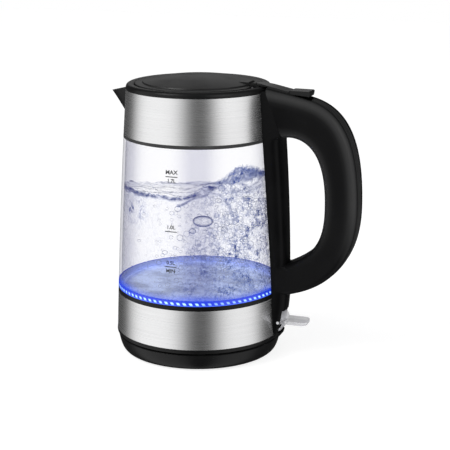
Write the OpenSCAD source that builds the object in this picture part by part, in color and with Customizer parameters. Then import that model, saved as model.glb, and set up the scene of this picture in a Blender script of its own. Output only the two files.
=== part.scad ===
// Electric kettle: a glass body between two steel bands, lifting off a round power base.
// The origin is on the body's axis at the table. +Z is up, the handle points to +X
// and the spout to -X. All sizes are in millimetres.

/* [Body] */
// Diameter of the body at the foot of its lower steel band
foot_d = 152; // [148:1:156]
// Diameter of the body under its collar
rim_d = 129.6; // [126:0.2:134]
// Outward bow of the body's side halfway up
side_bow = 1.1; // [0:0.1:2]
// Height of the lower steel band
lower_band_h = 35.5; // [34:0.5:40]
// Height of the dark seat ring above the lower band
seat_h = 4.2; // [3.6:0.1:6]
// Height of the light ring
light_ring_h = 4.5; // [3.5:0.1:6]
// Height of the bare glass
glass_h = 133.8; // [125:0.2:150]
// Height of the seal above the glass
seal_h = 2.8; // [2:0.1:4]
// Height of the upper steel band
upper_band_h = 39.8; // [38:0.2:46]
// Height of the collar above the upper band
collar_h = 5; // [4.6:0.1:6]
// Thickness of the steel bands
band_t = 0.8; // [0.5:0.1:1.2]
// Thickness of the frames behind the bands
frame_t = 2.4; // [2:0.1:3]
// Thickness of the glass
glass_t = 2.5; // [2:0.1:3.2]

/* [Power base] */
// Height of the deck above the table
deck_h = 16; // [15:0.5:20]
// Diameter of the base at its lower edge
base_foot_d = 136; // [130:1:140]
// Diameter of the deck
deck_d = 150; // [146:1:154]
// Wall of the base shell
base_t = 2.4; // [2:0.1:3]
// Thickness of the floor plate
floor_t = 2; // [1.6:0.1:3]
// Clearance of the floor plate above the table
floor_lift = 1.2; // [0.8:0.1:1.6]
// Outer diameter of the foot ring
foot_ring_d = 120; // [100:1:124]
// Width of the foot ring
foot_ring_w = 5; // [3:0.5:8]
// Diameter of the circle the base screws stand on
base_screw_pcd = 90; // [80:1:96]
// Diameter of the mains cord that the gland takes
cord_d = 7; // [6:0.1:8]
// Gap between the deck and the kettle's underside
lift_gap = 1; // [0.6:0.1:1.5]

/* [Coupler] */
// Diameter of the plug
plug_d = 30; // [28:0.5:34]
// Height of the plug above the deck
plug_h = 11; // [9:0.5:13]
// Radial clearance between plug and socket
plug_fit = 1; // [0.6:0.1:1.5]
// Wall of the socket
socket_t = 2.6; // [2:0.1:3]
// Middle radius of the inner ring slot
inner_slot_r = 7; // [6.4:0.1:7.4]
// Middle radius of the outer ring slot
outer_slot_r = 11.5; // [11.2:0.1:12]
// Width of a ring slot
slot_w = 2; // [1.8:0.1:2.4]
// Thickness of the contact metal
contact_t = 0.5; // [0.3:0.05:0.6]

/* [Lid] */
// Diameter of the lid
lid_d = 114; // [110:0.5:116]
// Gap between the lid and the collar
lid_gap = 0.6; // [0.5:0.1:1]
// Height of the lid's crown above the collar
crown_h = 6.8; // [4:0.1:9]
// Diameter of the raised dome on the lid
dome_d = 99; // [90:1:102]
// Step at the edge of the dome
dome_step = 1; // [0.5:0.1:1.6]
// Wall of the lid
lid_t = 2.2; // [1.8:0.1:3]
// Depth from the collar's top to the liner's underside
liner_depth = 10; // [9.6:0.1:11]
// Distance from the body's axis to the lid hinge
hinge_x = 53.5; // [52.5:0.1:54]
// Radius of the lid's hinge barrel
barrel_r = 4.2; // [3.6:0.1:4.4]
// Length of the hinge barrel
barrel_w = 15; // [14:0.5:17]
// Diameter of the hinge pin
hinge_pin_d = 3; // [2.5:0.1:3.2]

/* [Handle] */
// Distance from the body's axis to the back of the grip
handle_reach = 149.6; // [145:0.2:156]
// Thickness of the grip, front to back
grip_t = 29.2; // [27:0.2:31]
// Width of the grip
grip_w = 30; // [28:0.5:32]
// Rounding of the grip's edges
grip_round = 6; // [4:0.5:7]
// Wall of the hollow grip
grip_wall = 3.2; // [2.6:0.1:4]
// Drop from the collar's underside to the top of the finger opening
opening_drop = 38.1; // [36:0.1:42]
// Height of the finger opening
opening_h = 116.5; // [110:0.5:122]
// Thickness of the lower arm where it meets the column
arm_foot_t = 28.4; // [26:0.2:30]
// Width of the cover strip on the back of the grip
strip_w = 12; // [10:0.5:14]
// Thickness of the cover strip
strip_t = 3; // [2.5:0.1:3.5]
// Width of the pocket for latch and button
pocket_w = 17; // [16.4:0.1:18]
// Side clearance of pieces that sit in the handle
handle_fit = 0.15; // [0.1:0.05:0.25]

/* [Column] */
// Width of the column at its top
column_top_w = 34.5; // [33:0.5:37]
// Width of the column at the lower arm
column_mid_w = 27; // [26:0.5:30]
// Distance the column stands out behind the glass, at its foot
column_out = 11.2; // [10.6:0.1:13]
// Bore of the steam tube
steam_bore = 4; // [3:0.1:4.6]
// Wall of the steam tube
steam_wall = 1; // [0.8:0.1:1.2]

/* [Switch] */
// Width of the switch paddle
paddle_w = 19; // [17:0.5:20]
// Thickness of the paddle
paddle_t = 3; // [2.4:0.1:3.6]
// Distance from the body's axis to the paddle's tip
paddle_reach = 104.6; // [100:0.2:108]
// Height of the lever's pivot above the table
pivot_z = 33.2; // [32:0.1:35]
// Diameter of the lever's pivot pin
switch_pin_d = 2.6; // [2:0.1:3]
// Side clearance of the paddle in its slot
paddle_gap = 0.5; // [0.4:0.1:0.8]

/* [Spout] */
// Distance from the body's axis to the tip of the spout
spout_reach = 83.7; // [80:0.1:86]
// Half width of the spout at the body
spout_half_w = 17; // [15:0.5:18]
// Wall of the spout
spout_t = 1.8; // [1.5:0.1:2.2]
// Height of the spout along the body
spout_h = 31; // [29:0.5:32]

/* [Hidden] */

$fn = 96;
black = [0.07, 0.07, 0.08];
steel = [0.78, 0.78, 0.8];
brass = [0.8, 0.65, 0.3];
clear = [0.85, 0.88, 0.97, 0.45];
cut = 1;               // how far a cutting solid runs past the face it cuts
run_fit = 0.05;        // radial running clearance of a pin
move_gap = 0.4;        // gap between pieces that move past each other

// Levels, from the table up
deck_z = deck_h;
kettle_z = deck_z + lift_gap;
foot_z = kettle_z + 4;                       // top of the underside cover's edge
seat_z = foot_z + lower_band_h;
light_z = seat_z + seat_h;
glass_z = light_z + light_ring_h;
seal_z = glass_z + glass_h;
band_z = seal_z + seal_h;
rim_z = band_z + upper_band_h;
top_z = rim_z + collar_h;

// Radius of the body's side at height z: a cone with a parabolic bow
function rise(z) = (z - foot_z) / (rim_z - foot_z);
function body_r(z) = foot_d / 2 - (foot_d - rim_d) / 2 * rise(z)
    + 4 * side_bow * rise(z) * (1 - rise(z));
// Points up the side between two heights, moved inwards by inset
function side(z0, z1, n, inset = 0) =
    [for (i = [0:n]) let (z = z0 + (z1 - z0) * i / n) [body_r(z) - inset, z]];
function backwards(list) = [for (i = [len(list) - 1:-1:0]) list[i]];
// Wall between two heights, outer and inner side given as insets
function wall(z0, z1, n, outer, inner) =
    concat(side(z0, z1, n, outer), backwards(side(z0, z1, n, inner)));
// Cubic curve from a to d with control points b and c
function curve(a, b, c, d, n, from = 0, to = 1) = [
    for (i = [0:n])
        let (t = from + (to - from) * i / n, s = 1 - t)
            a * s * s * s + 3 * b * s * s * t + 3 * c * s * t * t + d * t * t * t
];
function without_first(list) = [for (i = [1:len(list) - 1]) list[i]];
function arc(cx, cy, r, a0, a1, n) =
    [for (i = [0:n]) let (a = a0 + (a1 - a0) * i / n) [cx + r * cos(a), cy + r * sin(a)]];

// Segments of the side: the same in each band and in what is cut to fit them
band_n = 2;
glass_n = 6;
skin = band_t + frame_t;

// Power base
shell_lift = 0.8;                            // gap under the shell's edge
base_side = curve([base_foot_d / 2, shell_lift], [base_foot_d / 2 + 3.6, 1],
    [deck_d / 2 - 1.4, deck_h * 0.45], [deck_d / 2, deck_h - 0.8], 14);
boss_top = floor_lift + floor_t;
base_screw_d = 3;
base_screw_l = 8;
head_t = 0.9;                                // height of a screw head
gland_r = cord_d / 2 + 1.3;
boss_r = gland_r + 2;
gland_z = boss_top + gland_r + 1;
gland_out = deck_d / 2 + 0.8;
gland_in = deck_d / 2 - 12;                  // inner face of the boss in the base

// Coupler
plug_top = deck_z + plug_h;
slot_floor = deck_z + 1;
socket_r = plug_d / 2 + plug_fit + socket_t;
socket_bottom = kettle_z + 0.3;
socket_top = plug_top + move_gap + socket_t;
control_z = socket_top + move_gap;

// Heating floor
plate_z = light_z - 0.2;
plate_t = 0.8;
light_t = 1.6;
gasket_t = 2.4;
plate_r = body_r(light_z) - light_t - gasket_t;
spreader_t = 3;
element_r = 38;
element_tube_r = 3.6;
spreader_bottom = plate_z - plate_t - spreader_t;
cover_screw_r = 60;
cover_screw_d = 3;
cover_screw_l = 12;
cover_t = 2.4;

// Lid and hinge
lid_r = lid_d / 2;
well_r = lid_r + lid_gap;
hinge_z = top_z - 1.4;
liner_z = top_z - liner_depth;
liner_r = lid_r - 2.4;
lid_screw_d = 2.5;
lid_screw_l = 7;
ear_in = barrel_w / 2 + move_gap;
ear_w = 3.5;
ear_top = hinge_z + 2.2;
lid_back = hinge_x - 1.2;

// Handle: outer and inner curves in the XZ plane
opening_top = rim_z - opening_drop;
opening_bottom = opening_top - opening_h;
grip_z = (opening_top + opening_bottom) / 2 - 2.25;
grip_in = handle_reach - grip_t;
column_back = body_r(seat_z) + column_out;
column_back_top = body_r(band_z) + column_out + 1.7;
root_out = [body_r(rim_z) + 1.7, rim_z + 3.4];
knee = root_out + [39.5, -8.2];
root_in = [column_back_top + 1.7, opening_top];
arm_seat_x = column_back + 0.1;
foot_in = [arm_seat_x, opening_bottom + 1];
foot_out = [arm_seat_x, foot_in[1] - arm_foot_t];
outer_path = concat(
    curve(root_out, root_out + [13, -2.6], knee + [-13, 3.6], knee, 5),
    without_first(curve(knee, knee + [32, -9.2], [handle_reach, grip_z + 53],
        [handle_reach, grip_z], 9)),
    without_first(curve([handle_reach, grip_z], [handle_reach, grip_z - 46],
        foot_out + [42.3, 9.9], foot_out, 9))
);
inner_path = concat(
    curve(root_in, root_in + [26, 2.5], [grip_in + 0.6, opening_top - 19.5],
        [grip_in, grip_z], 5, 0, 0.3),
    without_first(curve(root_in, root_in + [26, 2.5], [grip_in + 0.6, opening_top - 19.5],
        [grip_in, grip_z], 9, 0.3, 1)),
    without_first(curve([grip_in, grip_z], [grip_in, grip_z - 31],
        foot_in + [25.5, 11.8], foot_in, 9))
);
cover_first = 5;
cover_last = len(outer_path) - 3;

// A point of the grip's section at station i: a along the section from the inner
// curve, or from the outer curve where a is negative, and y across
function span(i) = norm(outer_path[i] - inner_path[i]);
function section_point(i, a, y) =
    let (t = span(i), along = (a < 0 ? t + a : a) / t,
        p = inner_path[i] + (outer_path[i] - inner_path[i]) * along)
        [p[0], y, p[1]];
half_grip = grip_w / 2;
corner_n = 4;
ledge_w = 1.5;
ledge_t = 1.2;
groove_half = strip_w / 2 + handle_fit;
// The grip widens into the column over its first stations and narrows to its seat over
// its last ones
last_station = len(outer_path) - 1;
root_n = 4;
foot_n = 5;
root_half = column_top_w / 2 - 0.6;
foot_half = column_mid_w / 2;
function grip_half(i) = half_grip
    + (root_half - half_grip) * pow(max(0, 1 - i / root_n), 2)
    - (half_grip - foot_half) * pow(max(0, 1 - (last_station - i) / foot_n), 2);
// Half of the hollow section with y above 0, from the inside of the grip to its back
function half_section(i) = let (t = span(i), r = grip_round, y = grip_half(i) - r) concat(
    [for (p = arc(r, y, r, 180, 90, corner_n)) [p[0], p[1]]],
    [for (p = arc(t - r, y, r, 90, 0, corner_n)) [p[0], p[1]]],
    [
        [t, groove_half],
        [t - strip_t, groove_half],
        [t - strip_t, groove_half - ledge_w],
        [t - strip_t - ledge_t, groove_half - ledge_w],
        [t - strip_t - ledge_t, grip_half(i) - grip_wall],
        [grip_wall, grip_half(i) - grip_wall]
    ]
);
function grip_ring(i) = concat(
    [for (p = half_section(i)) section_point(i, p[0], p[1])],
    [for (p = backwards(half_section(i))) section_point(i, p[0], -p[1])]
);
strip_half = strip_w / 2;
function strip_ring(i) = let (t = span(i)) [
    for (p = [[t - strip_t, strip_half], [t - 0.5, strip_half], [t, strip_half - 0.6],
        [t + 0.4, strip_half / 2], [t + 0.4, -strip_half / 2], [t, -strip_half + 0.6],
        [t - 0.5, -strip_half], [t - strip_t, -strip_half]])
        section_point(i, p[0], p[1])
];

// Column: half width and back at a height
function column_half(z) = lookup(z, [
    [kettle_z, column_mid_w / 2 - 2.5], [kettle_z + 8, column_mid_w / 2 - 1],
    [seat_z - 16, column_mid_w / 2], [opening_bottom, column_mid_w / 2],
    [grip_z, column_top_w / 2 - 1.4], [opening_top, column_top_w / 2],
    [rim_z + 2, column_top_w / 2 - 1]
]);
column_spine = concat(
    [[column_back - 7.6, kettle_z + 0.6], [column_back - 5.4, kettle_z + 3.4]],
    curve([column_back - 4.2, kettle_z + 8], [column_back - 3, kettle_z + 18],
        [column_back - 0.6, kettle_z + 27], [column_back, seat_z], 5),
    without_first(curve([column_back, seat_z], [column_back + 0.3, seat_z + 45],
        [column_back_top + 3.2, opening_top - 46], [column_back_top, opening_top - 5], 9)),
    [[column_back_top + 1, opening_top - 1.5], [column_back_top + 4, opening_top + 2],
        [column_back_top + 4, rim_z - 8], [column_back_top + 4, rim_z + 2]]
);
column_front = 55;
column_n = 7;
function column_ring(p) = let (
    w = column_half(p[1]),
    depth = p[0] - column_front,
    power = p[1] > opening_top ? 0.2 : 0.62
) concat(
    [[column_front, -w, p[1]]],
    [for (i = [0:2 * column_n])
        let (a = -90 + 90 * i / column_n, c = cos(a), s = sin(a))
            [p[0] - 0.5 * depth * (1 - pow(abs(c), power)),
                w * sign(s) * pow(abs(s), power), p[1]]],
    [[column_front, w, p[1]]]
);

// Closed solid through rings of points. Every ring has as many points as the next and
// runs counter-clockwise as seen from the end of the loft
module loft(rings) {
    n = len(rings[0]);
    m = len(rings);
    points = [for (ring = rings) for (p = ring) p];
    sides = [for (j = [0:m - 2]) for (i = [0:n - 1]) for (half = [0, 1])
        let (a = j * n + i, b = j * n + (i + 1) % n, c = b + n, d = a + n)
            half == 0 ? [a, c, b] : [a, d, c]];
    caps = [[for (i = [0:n - 1]) i], [for (i = [n - 1:-1:0]) (m - 1) * n + i]];
    polyhedron(points, concat(sides, caps), convexity = 8);
}

// Solid of revolution from a list of [radius, height] points
module turned(points) {
    rotate_extrude() polygon(points);
}

module ring(r_in, r_out, z0, z1) {
    turned([[r_in, z0], [r_out, z0], [r_out, z1], [r_in, z1]]);
}

// Upright cylinder from z0 to z1
module post(r, z0, z1) {
    translate([0, 0, z0]) cylinder(r = r, h = z1 - z0);
}

// Cylinder along Y, centred on y = 0
module cross_pin(x, z, r, w) {
    translate([x, w / 2, z]) rotate([90, 0, 0]) cylinder(r = r, h = w);
}

// Cylinder along X from x0 to x1
module long_pin(x0, x1, y, z, r) {
    translate([x0, y, z]) rotate([0, 90, 0]) cylinder(r = r, h = x1 - x0);
}

// Outline in the XZ plane, drawn out along Y and centred on y = 0
module slab(points, w) {
    translate([0, w / 2, 0]) rotate([90, 0, 0]) linear_extrude(height = w) polygon(points);
}

module box(x0, x1, y0, y1, z0, z1) {
    translate([x0, y0, z0]) cube([x1 - x0, y1 - y0, z1 - z0]);
}

// Copies around the axis
module around(count, first = 0) {
    for (i = [0:count - 1]) rotate([0, 0, first + 360 / count * i]) children();
}

// Pan-head screw pointing up, its head's top face at z = 0
module screw(d, length, head_d, head_h) {
    translate([0, 0, -head_h]) cylinder(d = head_d, h = head_h);
    cylinder(d = d, h = length);
}

// Row of closed turns that stands for a coil spring along +X, from x = 0
module coil(r, wire, turns, pitch) {
    for (i = [0:turns - 1])
        translate([wire / 2 + i * pitch, 0, 0]) rotate([0, 90, 0])
            rotate_extrude() translate([r, 0]) circle(d = wire, $fn = 24);
}

// Edge of the underside cover
cover_edge = [[foot_d / 2 - 0.8, kettle_z], [foot_d / 2 + 0.1, kettle_z + 0.8],
    [foot_d / 2 + 0.3, kettle_z + 2.2], [foot_d / 2 + 0.1, foot_z]];
// Edge of the collar, from the band up to its top
collar_edge = concat([[body_r(rim_z), rim_z]],
    curve([body_r(rim_z), rim_z + 1.4], [body_r(rim_z), rim_z + 3.2],
        [body_r(rim_z) - 0.9, top_z - 0.4], [body_r(rim_z) - 2.8, top_z], 8));

// Everything inside the body's outer surface, for cutting what stands against it
module body_core() {
    turned(concat(
        [[0, kettle_z - cut], [cover_edge[0][0], kettle_z - cut]],
        cover_edge,
        side(foot_z, seat_z, band_n),
        side(seat_z, light_z, 1),
        side(light_z, glass_z, 1),
        side(glass_z, seal_z, glass_n),
        side(seal_z, band_z, 1),
        side(band_z, rim_z, band_n),
        without_first(collar_edge),
        [[0, top_z]]
    ));
}

// ---- Power base ----

module cord_boss(r, y0, y1) {
    translate([0, y0, gland_z]) rotate([-90, 0, 0]) cylinder(r = r, h = y1 - y0);
}

module base_shell() {
    color(black) difference() {
        union() {
            turned(concat(
                base_side,
                [[deck_d / 2 - 0.8, deck_z], [plug_d / 2 + 0.1, deck_z],
                    [plug_d / 2 + 0.1, deck_z - base_t], [deck_d / 2 - 2.6, deck_z - base_t]],
                [for (p = backwards(base_side)) if (p[1] < deck_z - base_t - 1)
                    [p[0] - base_t, max(p[1], shell_lift)]]
            ));
            around(3, 60) translate([base_screw_pcd / 2, 0, 0])
                post(4, boss_top, deck_z - base_t / 2);
            intersection() {
                cord_boss(boss_r, gland_in, gland_out);
                post(gland_out, boss_top, deck_z);
            }
        }
        around(3, 60) translate([base_screw_pcd / 2, 0, 0])
            post(base_screw_d / 2, boss_top - cut, boss_top + base_screw_l);
        cord_boss(gland_r, gland_in - 1.6 - cut, gland_out + cut);
    }
}

module base_floor() {
    floor_r = base_foot_d / 2 - base_t - 0.3;
    color(black) difference() {
        post(floor_r, floor_lift, boss_top);
        ring(foot_ring_d / 2 - foot_ring_w, foot_ring_d / 2, floor_lift - cut, floor_lift + 1);
        around(3, 60) translate([base_screw_pcd / 2, 0, 0]) {
            post(base_screw_d / 2, floor_lift - cut, boss_top + cut);
            post(base_screw_d + 0.1, floor_lift - cut, floor_lift + head_t);
        }
    }
}

module base_foot_ring() {
    color([0.15, 0.15, 0.15]) ring(foot_ring_d / 2 - foot_ring_w, foot_ring_d / 2, 0, floor_lift + 1);
}

module base_screws() {
    color(steel) around(3, 60) translate([base_screw_pcd / 2, 0, floor_lift + head_t])
        screw(base_screw_d, base_screw_l, 2 * base_screw_d, head_t);
}

module coupler_plug() {
    color(black) difference() {
        union() {
            post(plug_d / 2, deck_z - base_t - 2, plug_top);
            post(plug_d / 2 + 4, deck_z - base_t - 2, deck_z - base_t);
        }
        for (r = [inner_slot_r, outer_slot_r])
            ring(r - slot_w / 2, r + slot_w / 2, slot_floor, plug_top + cut);
        post(2.9, slot_floor, plug_top + cut);
        for (r = [0, inner_slot_r, outer_slot_r])
            translate([r, 0, 0]) post(0.8, deck_z - base_t - 2 - cut, slot_floor + cut);
    }
}

module plug_contacts() {
    color(brass) {
        for (r = [inner_slot_r, outer_slot_r])
            ring(r + slot_w / 2 - contact_t, r + slot_w / 2, slot_floor, plug_top - 2);
        ring(2.9 - contact_t, 2.9, slot_floor, plug_top - 2);
        for (r = [inner_slot_r, outer_slot_r])
            translate([r, 0, 0]) post(0.8, deck_z - base_t - 6, slot_floor);
        post(0.8, deck_z - base_t - 6, slot_floor);
    }
}

module cord_gland() {
    color(black) difference() {
        union() {
            cord_boss(gland_r, gland_in - 1.6, gland_out);
            cord_boss(gland_r + 1.6, gland_out, gland_out + 1.6);
            intersection() {
                cord_boss(gland_r + 1.2, gland_in - 1.6, gland_in);
                post(gland_out, boss_top, deck_z - base_t);
            }
        }
        cord_boss(cord_d / 2, gland_in - 1.6 - cut, gland_out + 1.6 + cut);
    }
}

// ---- Coupler socket on the kettle ----

module coupler_socket() {
    color(black) difference() {
        post(socket_r, socket_bottom, socket_top);
        post(plug_d / 2 + plug_fit, socket_bottom - cut, plug_top + move_gap);
        for (r = [0, inner_slot_r, outer_slot_r])
            translate([r, 0, 0]) post(0.8, plug_top, socket_top + cut);
    }
}

blade_shift = -contact_t / 2 - 0.05;

module socket_contacts() {
    blade_top = plug_top + move_gap;
    color(brass) {
        for (r = [inner_slot_r, outer_slot_r]) {
            ring(r + blade_shift - contact_t / 2, r + blade_shift + contact_t / 2,
                slot_floor + 1.5, blade_top);
            translate([r, 0, 0]) post(0.8, blade_top, socket_top);
        }
        post(1.6, slot_floor + 1.5, blade_top);
        post(0.8, blade_top, socket_top);
    }
}

// ---- Lower body ----

module underside_cover() {
    color(black) difference() {
        turned(concat(
            [[socket_r + move_gap, kettle_z], cover_edge[0]],
            cover_edge,
            [[foot_d / 2 - band_t - frame_t, foot_z],
                [foot_d / 2 - band_t - frame_t, kettle_z + cover_t],
                [socket_r + move_gap + 2.4, kettle_z + cover_t],
                [socket_r + move_gap + 2.4, kettle_z + 6],
                [socket_r + move_gap, kettle_z + 6]]
        ));
        around(3, 90) translate([cover_screw_r, 0, 0]) {
            post(1.5, kettle_z - cut, foot_z + cut);
            post(3.1, kettle_z - cut, kettle_z + 1.2);
        }
    }
}

module underside_screws() {
    color(steel) around(3, 90) translate([cover_screw_r, 0, kettle_z + 1.2])
        screw(cover_screw_d, cover_screw_l, 2 * cover_screw_d + 0.2, 1);
}

// Moulded frame: wall behind the band, seat ring on top and inner flange for the plate
module lower_frame() {
    color(black) difference() {
        union() {
            turned(concat(
                side(foot_z, seat_z, band_n, band_t),
                side(seat_z, light_z, 1),
                [[plate_r - 6, light_z], [plate_r - 6, seat_z - 4]],
                backwards(side(foot_z, seat_z - 6, band_n, skin))
            ));
            around(3, 90) {
                translate([cover_screw_r, 0, 0]) post(4, kettle_z + cover_t, seat_z - 4);
                screw_rib();
            }
        }
        around(3, 90) translate([cover_screw_r, 0, 0])
            post(cover_screw_d / 2, kettle_z, kettle_z + cover_t + cover_screw_l);
        ring(plate_r - 6 - cut, plate_r, plate_z - plate_t, light_z + cut);
        ring(plate_r - cut, body_r(light_z) - light_t, light_z - 1.4, light_z + cut);
        around(12, 15) {
            translate([led_r, 0, 0]) post(1.6, seat_z - 8, light_z + cut);
            box(led_r, body_r(light_z) - 0.9, -1.6, 1.6, seat_z - 2, light_z + cut);
        }
        at_screws(lower_screws) frame_screw_hole(lower_screw_out);
    }
}

// Rib from a screw post to the wall, ending below the board
module screw_rib() {
    z0 = kettle_z + cover_t;
    z1 = led_board_z - led_board_t;
    intersection() {
        box(cover_screw_r, foot_d / 2, -1.2, 1.2, z0, z1);
        turned([[0, z0], [body_r(foot_z) - skin - 0.5, z0], [body_r(foot_z) - skin + 0.4, foot_z + 2],
            [body_r(z1) - skin + 0.4, z1], [0, z1]]);
    }
}

module lower_band() {
    color(steel) difference() {
        turned(wall(foot_z, seat_z, band_n, 0, band_t));
        at_screws(lower_screws) frame_screw_hole(lower_screw_out);
    }
}

led_r = body_r(seat_z) - skin - 2;
led_board_w = 5;
led_board_t = 1.6;
led_board_z = seat_z - 6;

// Ring board, open where the screws of the column pass
module led_board() {
    color([0.1, 0.3, 0.15]) difference() {
        ring(led_r + 1.7 - led_board_w, led_r + 1.7, led_board_z - led_board_t, led_board_z);
        box(0, foot_d, -screw_y - 4, screw_y + 4, led_board_z - led_board_t - cut, led_board_z + cut);
    }
}

module led_chips() {
    color("white") around(12, 15) translate([led_r, 0, 0])
        post(1.2, led_board_z, led_board_z + 1.6);
}

module light_ring() {
    color([0.3, 0.5, 1]) turned(wall(light_z, glass_z, 1, 0, light_t));
}

module glass_gasket() {
    color([0.6, 0.6, 0.65]) turned([
        [plate_r, light_z - 1.4], [body_r(light_z) - light_t, light_z - 1.4],
        [body_r(light_z) - light_t, light_z], [body_r(glass_z) - light_t, glass_z],
        [body_r(glass_z) - glass_t - 0.4, glass_z], [plate_r - 0.6, light_z + 1.2],
        [plate_r - 0.6, plate_z], [plate_r, plate_z]
    ]);
}

// ---- Heater and control ----

module heating_plate() {
    color(steel) post(plate_r, plate_z - plate_t, plate_z);
}

module heat_spreader() {
    color([0.7, 0.7, 0.72]) post(element_r + 12, spreader_bottom, plate_z - plate_t);
}

// Ring element under the spreader with two cold ends turned down
module heating_element() {
    z = spreader_bottom - element_tube_r;
    open_angle = 50;
    color([0.6, 0.6, 0.62]) {
        rotate([0, 0, open_angle / 2]) rotate_extrude(angle = 360 - open_angle)
            translate([element_r, z]) circle(r = element_tube_r, $fn = 48);
        for (a = [-1, 1]) rotate([0, 0, a * open_angle / 2]) translate([element_r, 0, 0]) {
            translate([0, 0, z]) sphere(r = element_tube_r, $fn = 48);
            post(element_tube_r - 0.6, z - 9, z);
            post(1.2, z - 13, z - 9);
        }
    }
}

module control_body() {
    z1 = spreader_bottom - 3;
    color([0.85, 0.85, 0.82]) difference() {
        union() {
            post(socket_r + 3, control_z, z1);
            box(-10, 28, -12, 12, control_z + 1, z1 - 3);
            for (y = [-8, 8]) translate([0, y, 0]) post(2, z1, spreader_bottom);
        }
        for (x = [-12, 12]) translate([x, 0, 0]) post(6.4, z1 - 2, z1 + cut);
    }
}

module bimetal_discs() {
    z1 = spreader_bottom - 3;
    color([0.75, 0.6, 0.45]) for (x = [-12, 12]) translate([x, 0, 0]) {
        post(5.8, z1 - 0.6, z1);
        post(1.4, z1 - 2, z1 - 0.6);
        post(3, z1, spreader_bottom);
    }
}

// ---- Glass and upper body ----

module glass_body() {
    color(clear) turned(wall(glass_z, seal_z, glass_n, 0, glass_t));
}

// Black seal: flat ring on the glass edge with an inner lip
module upper_seal() {
    lip = glass_t + 0.2;
    low = seal_z - 0.8;
    color(black) turned([
        [body_r(seal_z), seal_z], [body_r(band_z), band_z],
        [body_r(band_z) - skin - 1, band_z], [body_r(low) - lip - 1, low],
        [body_r(low) - lip, low], [body_r(seal_z) - lip, seal_z]
    ]);
}

// Window behind the spout, drawn in YZ and cut along -X
module spout_window() {
    translate([-rim_d, 0, 0]) rotate([90, 0, 90]) linear_extrude(height = rim_d - 50)
        polygon([[-4, window_z], [4, window_z], [12, window_top], [-12, window_top]]);
}

window_z = rim_z - spout_h + 6;
window_top = liner_z - 0.8;

module upper_band() {
    color(steel) difference() {
        turned(wall(band_z, rim_z, band_n, 0, band_t));
        spout_window();
        steam_port(steam_r);
        at_screws(upper_screws) frame_screw_hole(upper_screw_out);
    }
}

module upper_frame() {
    color(black) {
        difference() {
            turned(wall(band_z, rim_z, band_n, band_t, skin));
            spout_window();
            steam_port(steam_r);
            at_screws(upper_screws) frame_screw_hole(upper_screw_out);
        }
        for (s = [-1, 1]) filter_guide(s);
    }
}

// Rail beside the filter
module filter_guide(s) {
    y0 = filter_half + move_gap;
    intersection() {
        box(-rim_d, filter_x + filter_t, s > 0 ? y0 : -y0 - 2, s > 0 ? y0 + 2 : -y0,
            filter_z0, filter_z1);
        post(body_r(rim_z) - skin + 0.8, filter_z0, filter_z1);
    }
}

module collar() {
    color(black) difference() {
        union() {
            turned(concat(
                collar_edge,
                [[well_r + 1, top_z - 0.2], [well_r, top_z - 0.8],
                    [well_r, liner_z - 0.5], [well_r + 1.8, liner_z - 0.5], [well_r + 1.8, rim_z]]
            ));
            hinge_shelf();
            for (s = [-1, 1]) hinge_ear(s);
        }
        for (s = [-1, 1]) translate([0, s * (ear_in + ear_w / 2), 0])
            cross_pin(hinge_x, hinge_z, hinge_pin_d / 2, ear_w + cut);
        box(hinge_x - 6, well_r + 0.8, -ear_in, ear_in, liner_z - 2, top_z + 3);
        box(well_r, body_r(rim_z) + cut, -latch_half, latch_half, latch_z - 0.4, top_z + cut);
    }
}

// Flat shelf that fills the well behind the lid's straight back edge
module hinge_shelf() {
    intersection() {
        post(well_r + 1, top_z - 3, top_z - 0.8);
        box(lid_back + 0.5, well_r + 1, -30, 30, top_z - 4, top_z);
    }
}

module hinge_ear(s) {
    y0 = s > 0 ? ear_in : -ear_in - ear_w;
    translate([0, s * (ear_in + ear_w / 2), 0]) cross_pin(hinge_x, hinge_z, 2.9, ear_w);
    box(hinge_x, well_r + 2, y0, y0 + ear_w, hinge_z - 2.9, ear_top);
}

// Spout: rounded V that grows from a point low on the body to the pouring lip
spout_rings_n = 8;
spout_n = 6;
spout_foot = rim_z - spout_h;
spout_back = 52;
function spout_ring(k, inset, lift = 0) = let (
    t = k / spout_rings_n,
    grow = 0.06 + 0.94 * pow(t, 0.85),
    z = spout_foot + (spout_h + 0.6) * t + lift,
    half = (spout_half_w - inset * 1.3) * grow,
    root = body_r(spout_foot + spout_h * t) - 6,
    reach = root + 4 + (spout_reach - root - 4 - inset * 1.8) * grow
) concat(
    [[-spout_back, half, z]],
    [for (i = [0:2 * spout_n])
        let (u = i / spout_n - 1, x = root + (reach - root) * (1 - pow(abs(u), 1.25)))
            [-x, -u * half, z - t * 0.2 * (x - spout_back)]],
    [[-spout_back, -half, z]]
);

module spout() {
    color(black) difference() {
        loft([for (k = [0:spout_rings_n]) spout_ring(k, 0)]);
        loft([for (k = [1:spout_rings_n])
            spout_ring(k, spout_t, k == spout_rings_n ? 3 : spout_t * 0.7)]);
        body_core();
    }
}

// ---- Column and handle ----

steam_r = steam_bore / 2 + steam_wall;
steam_port_z = rim_z - 10;
steam_foot_z = foot_z + 26;
steam_out = 5.2;
module steam_port(r) {
    long_pin(body_r(rim_z) - 8, body_r(steam_port_z) + steam_out, 0, steam_port_z, r);
}

module steam_run(r) {
    a = [body_r(steam_port_z) + steam_out, steam_port_z];
    b = [body_r(steam_foot_z) + steam_out, steam_foot_z];
    tilt = atan2(b[0] - a[0], a[1] - b[1]);
    translate([a[0], 0, a[1]]) rotate([0, 180 - tilt, 0]) cylinder(r = r, h = norm(a - b));
}

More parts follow.
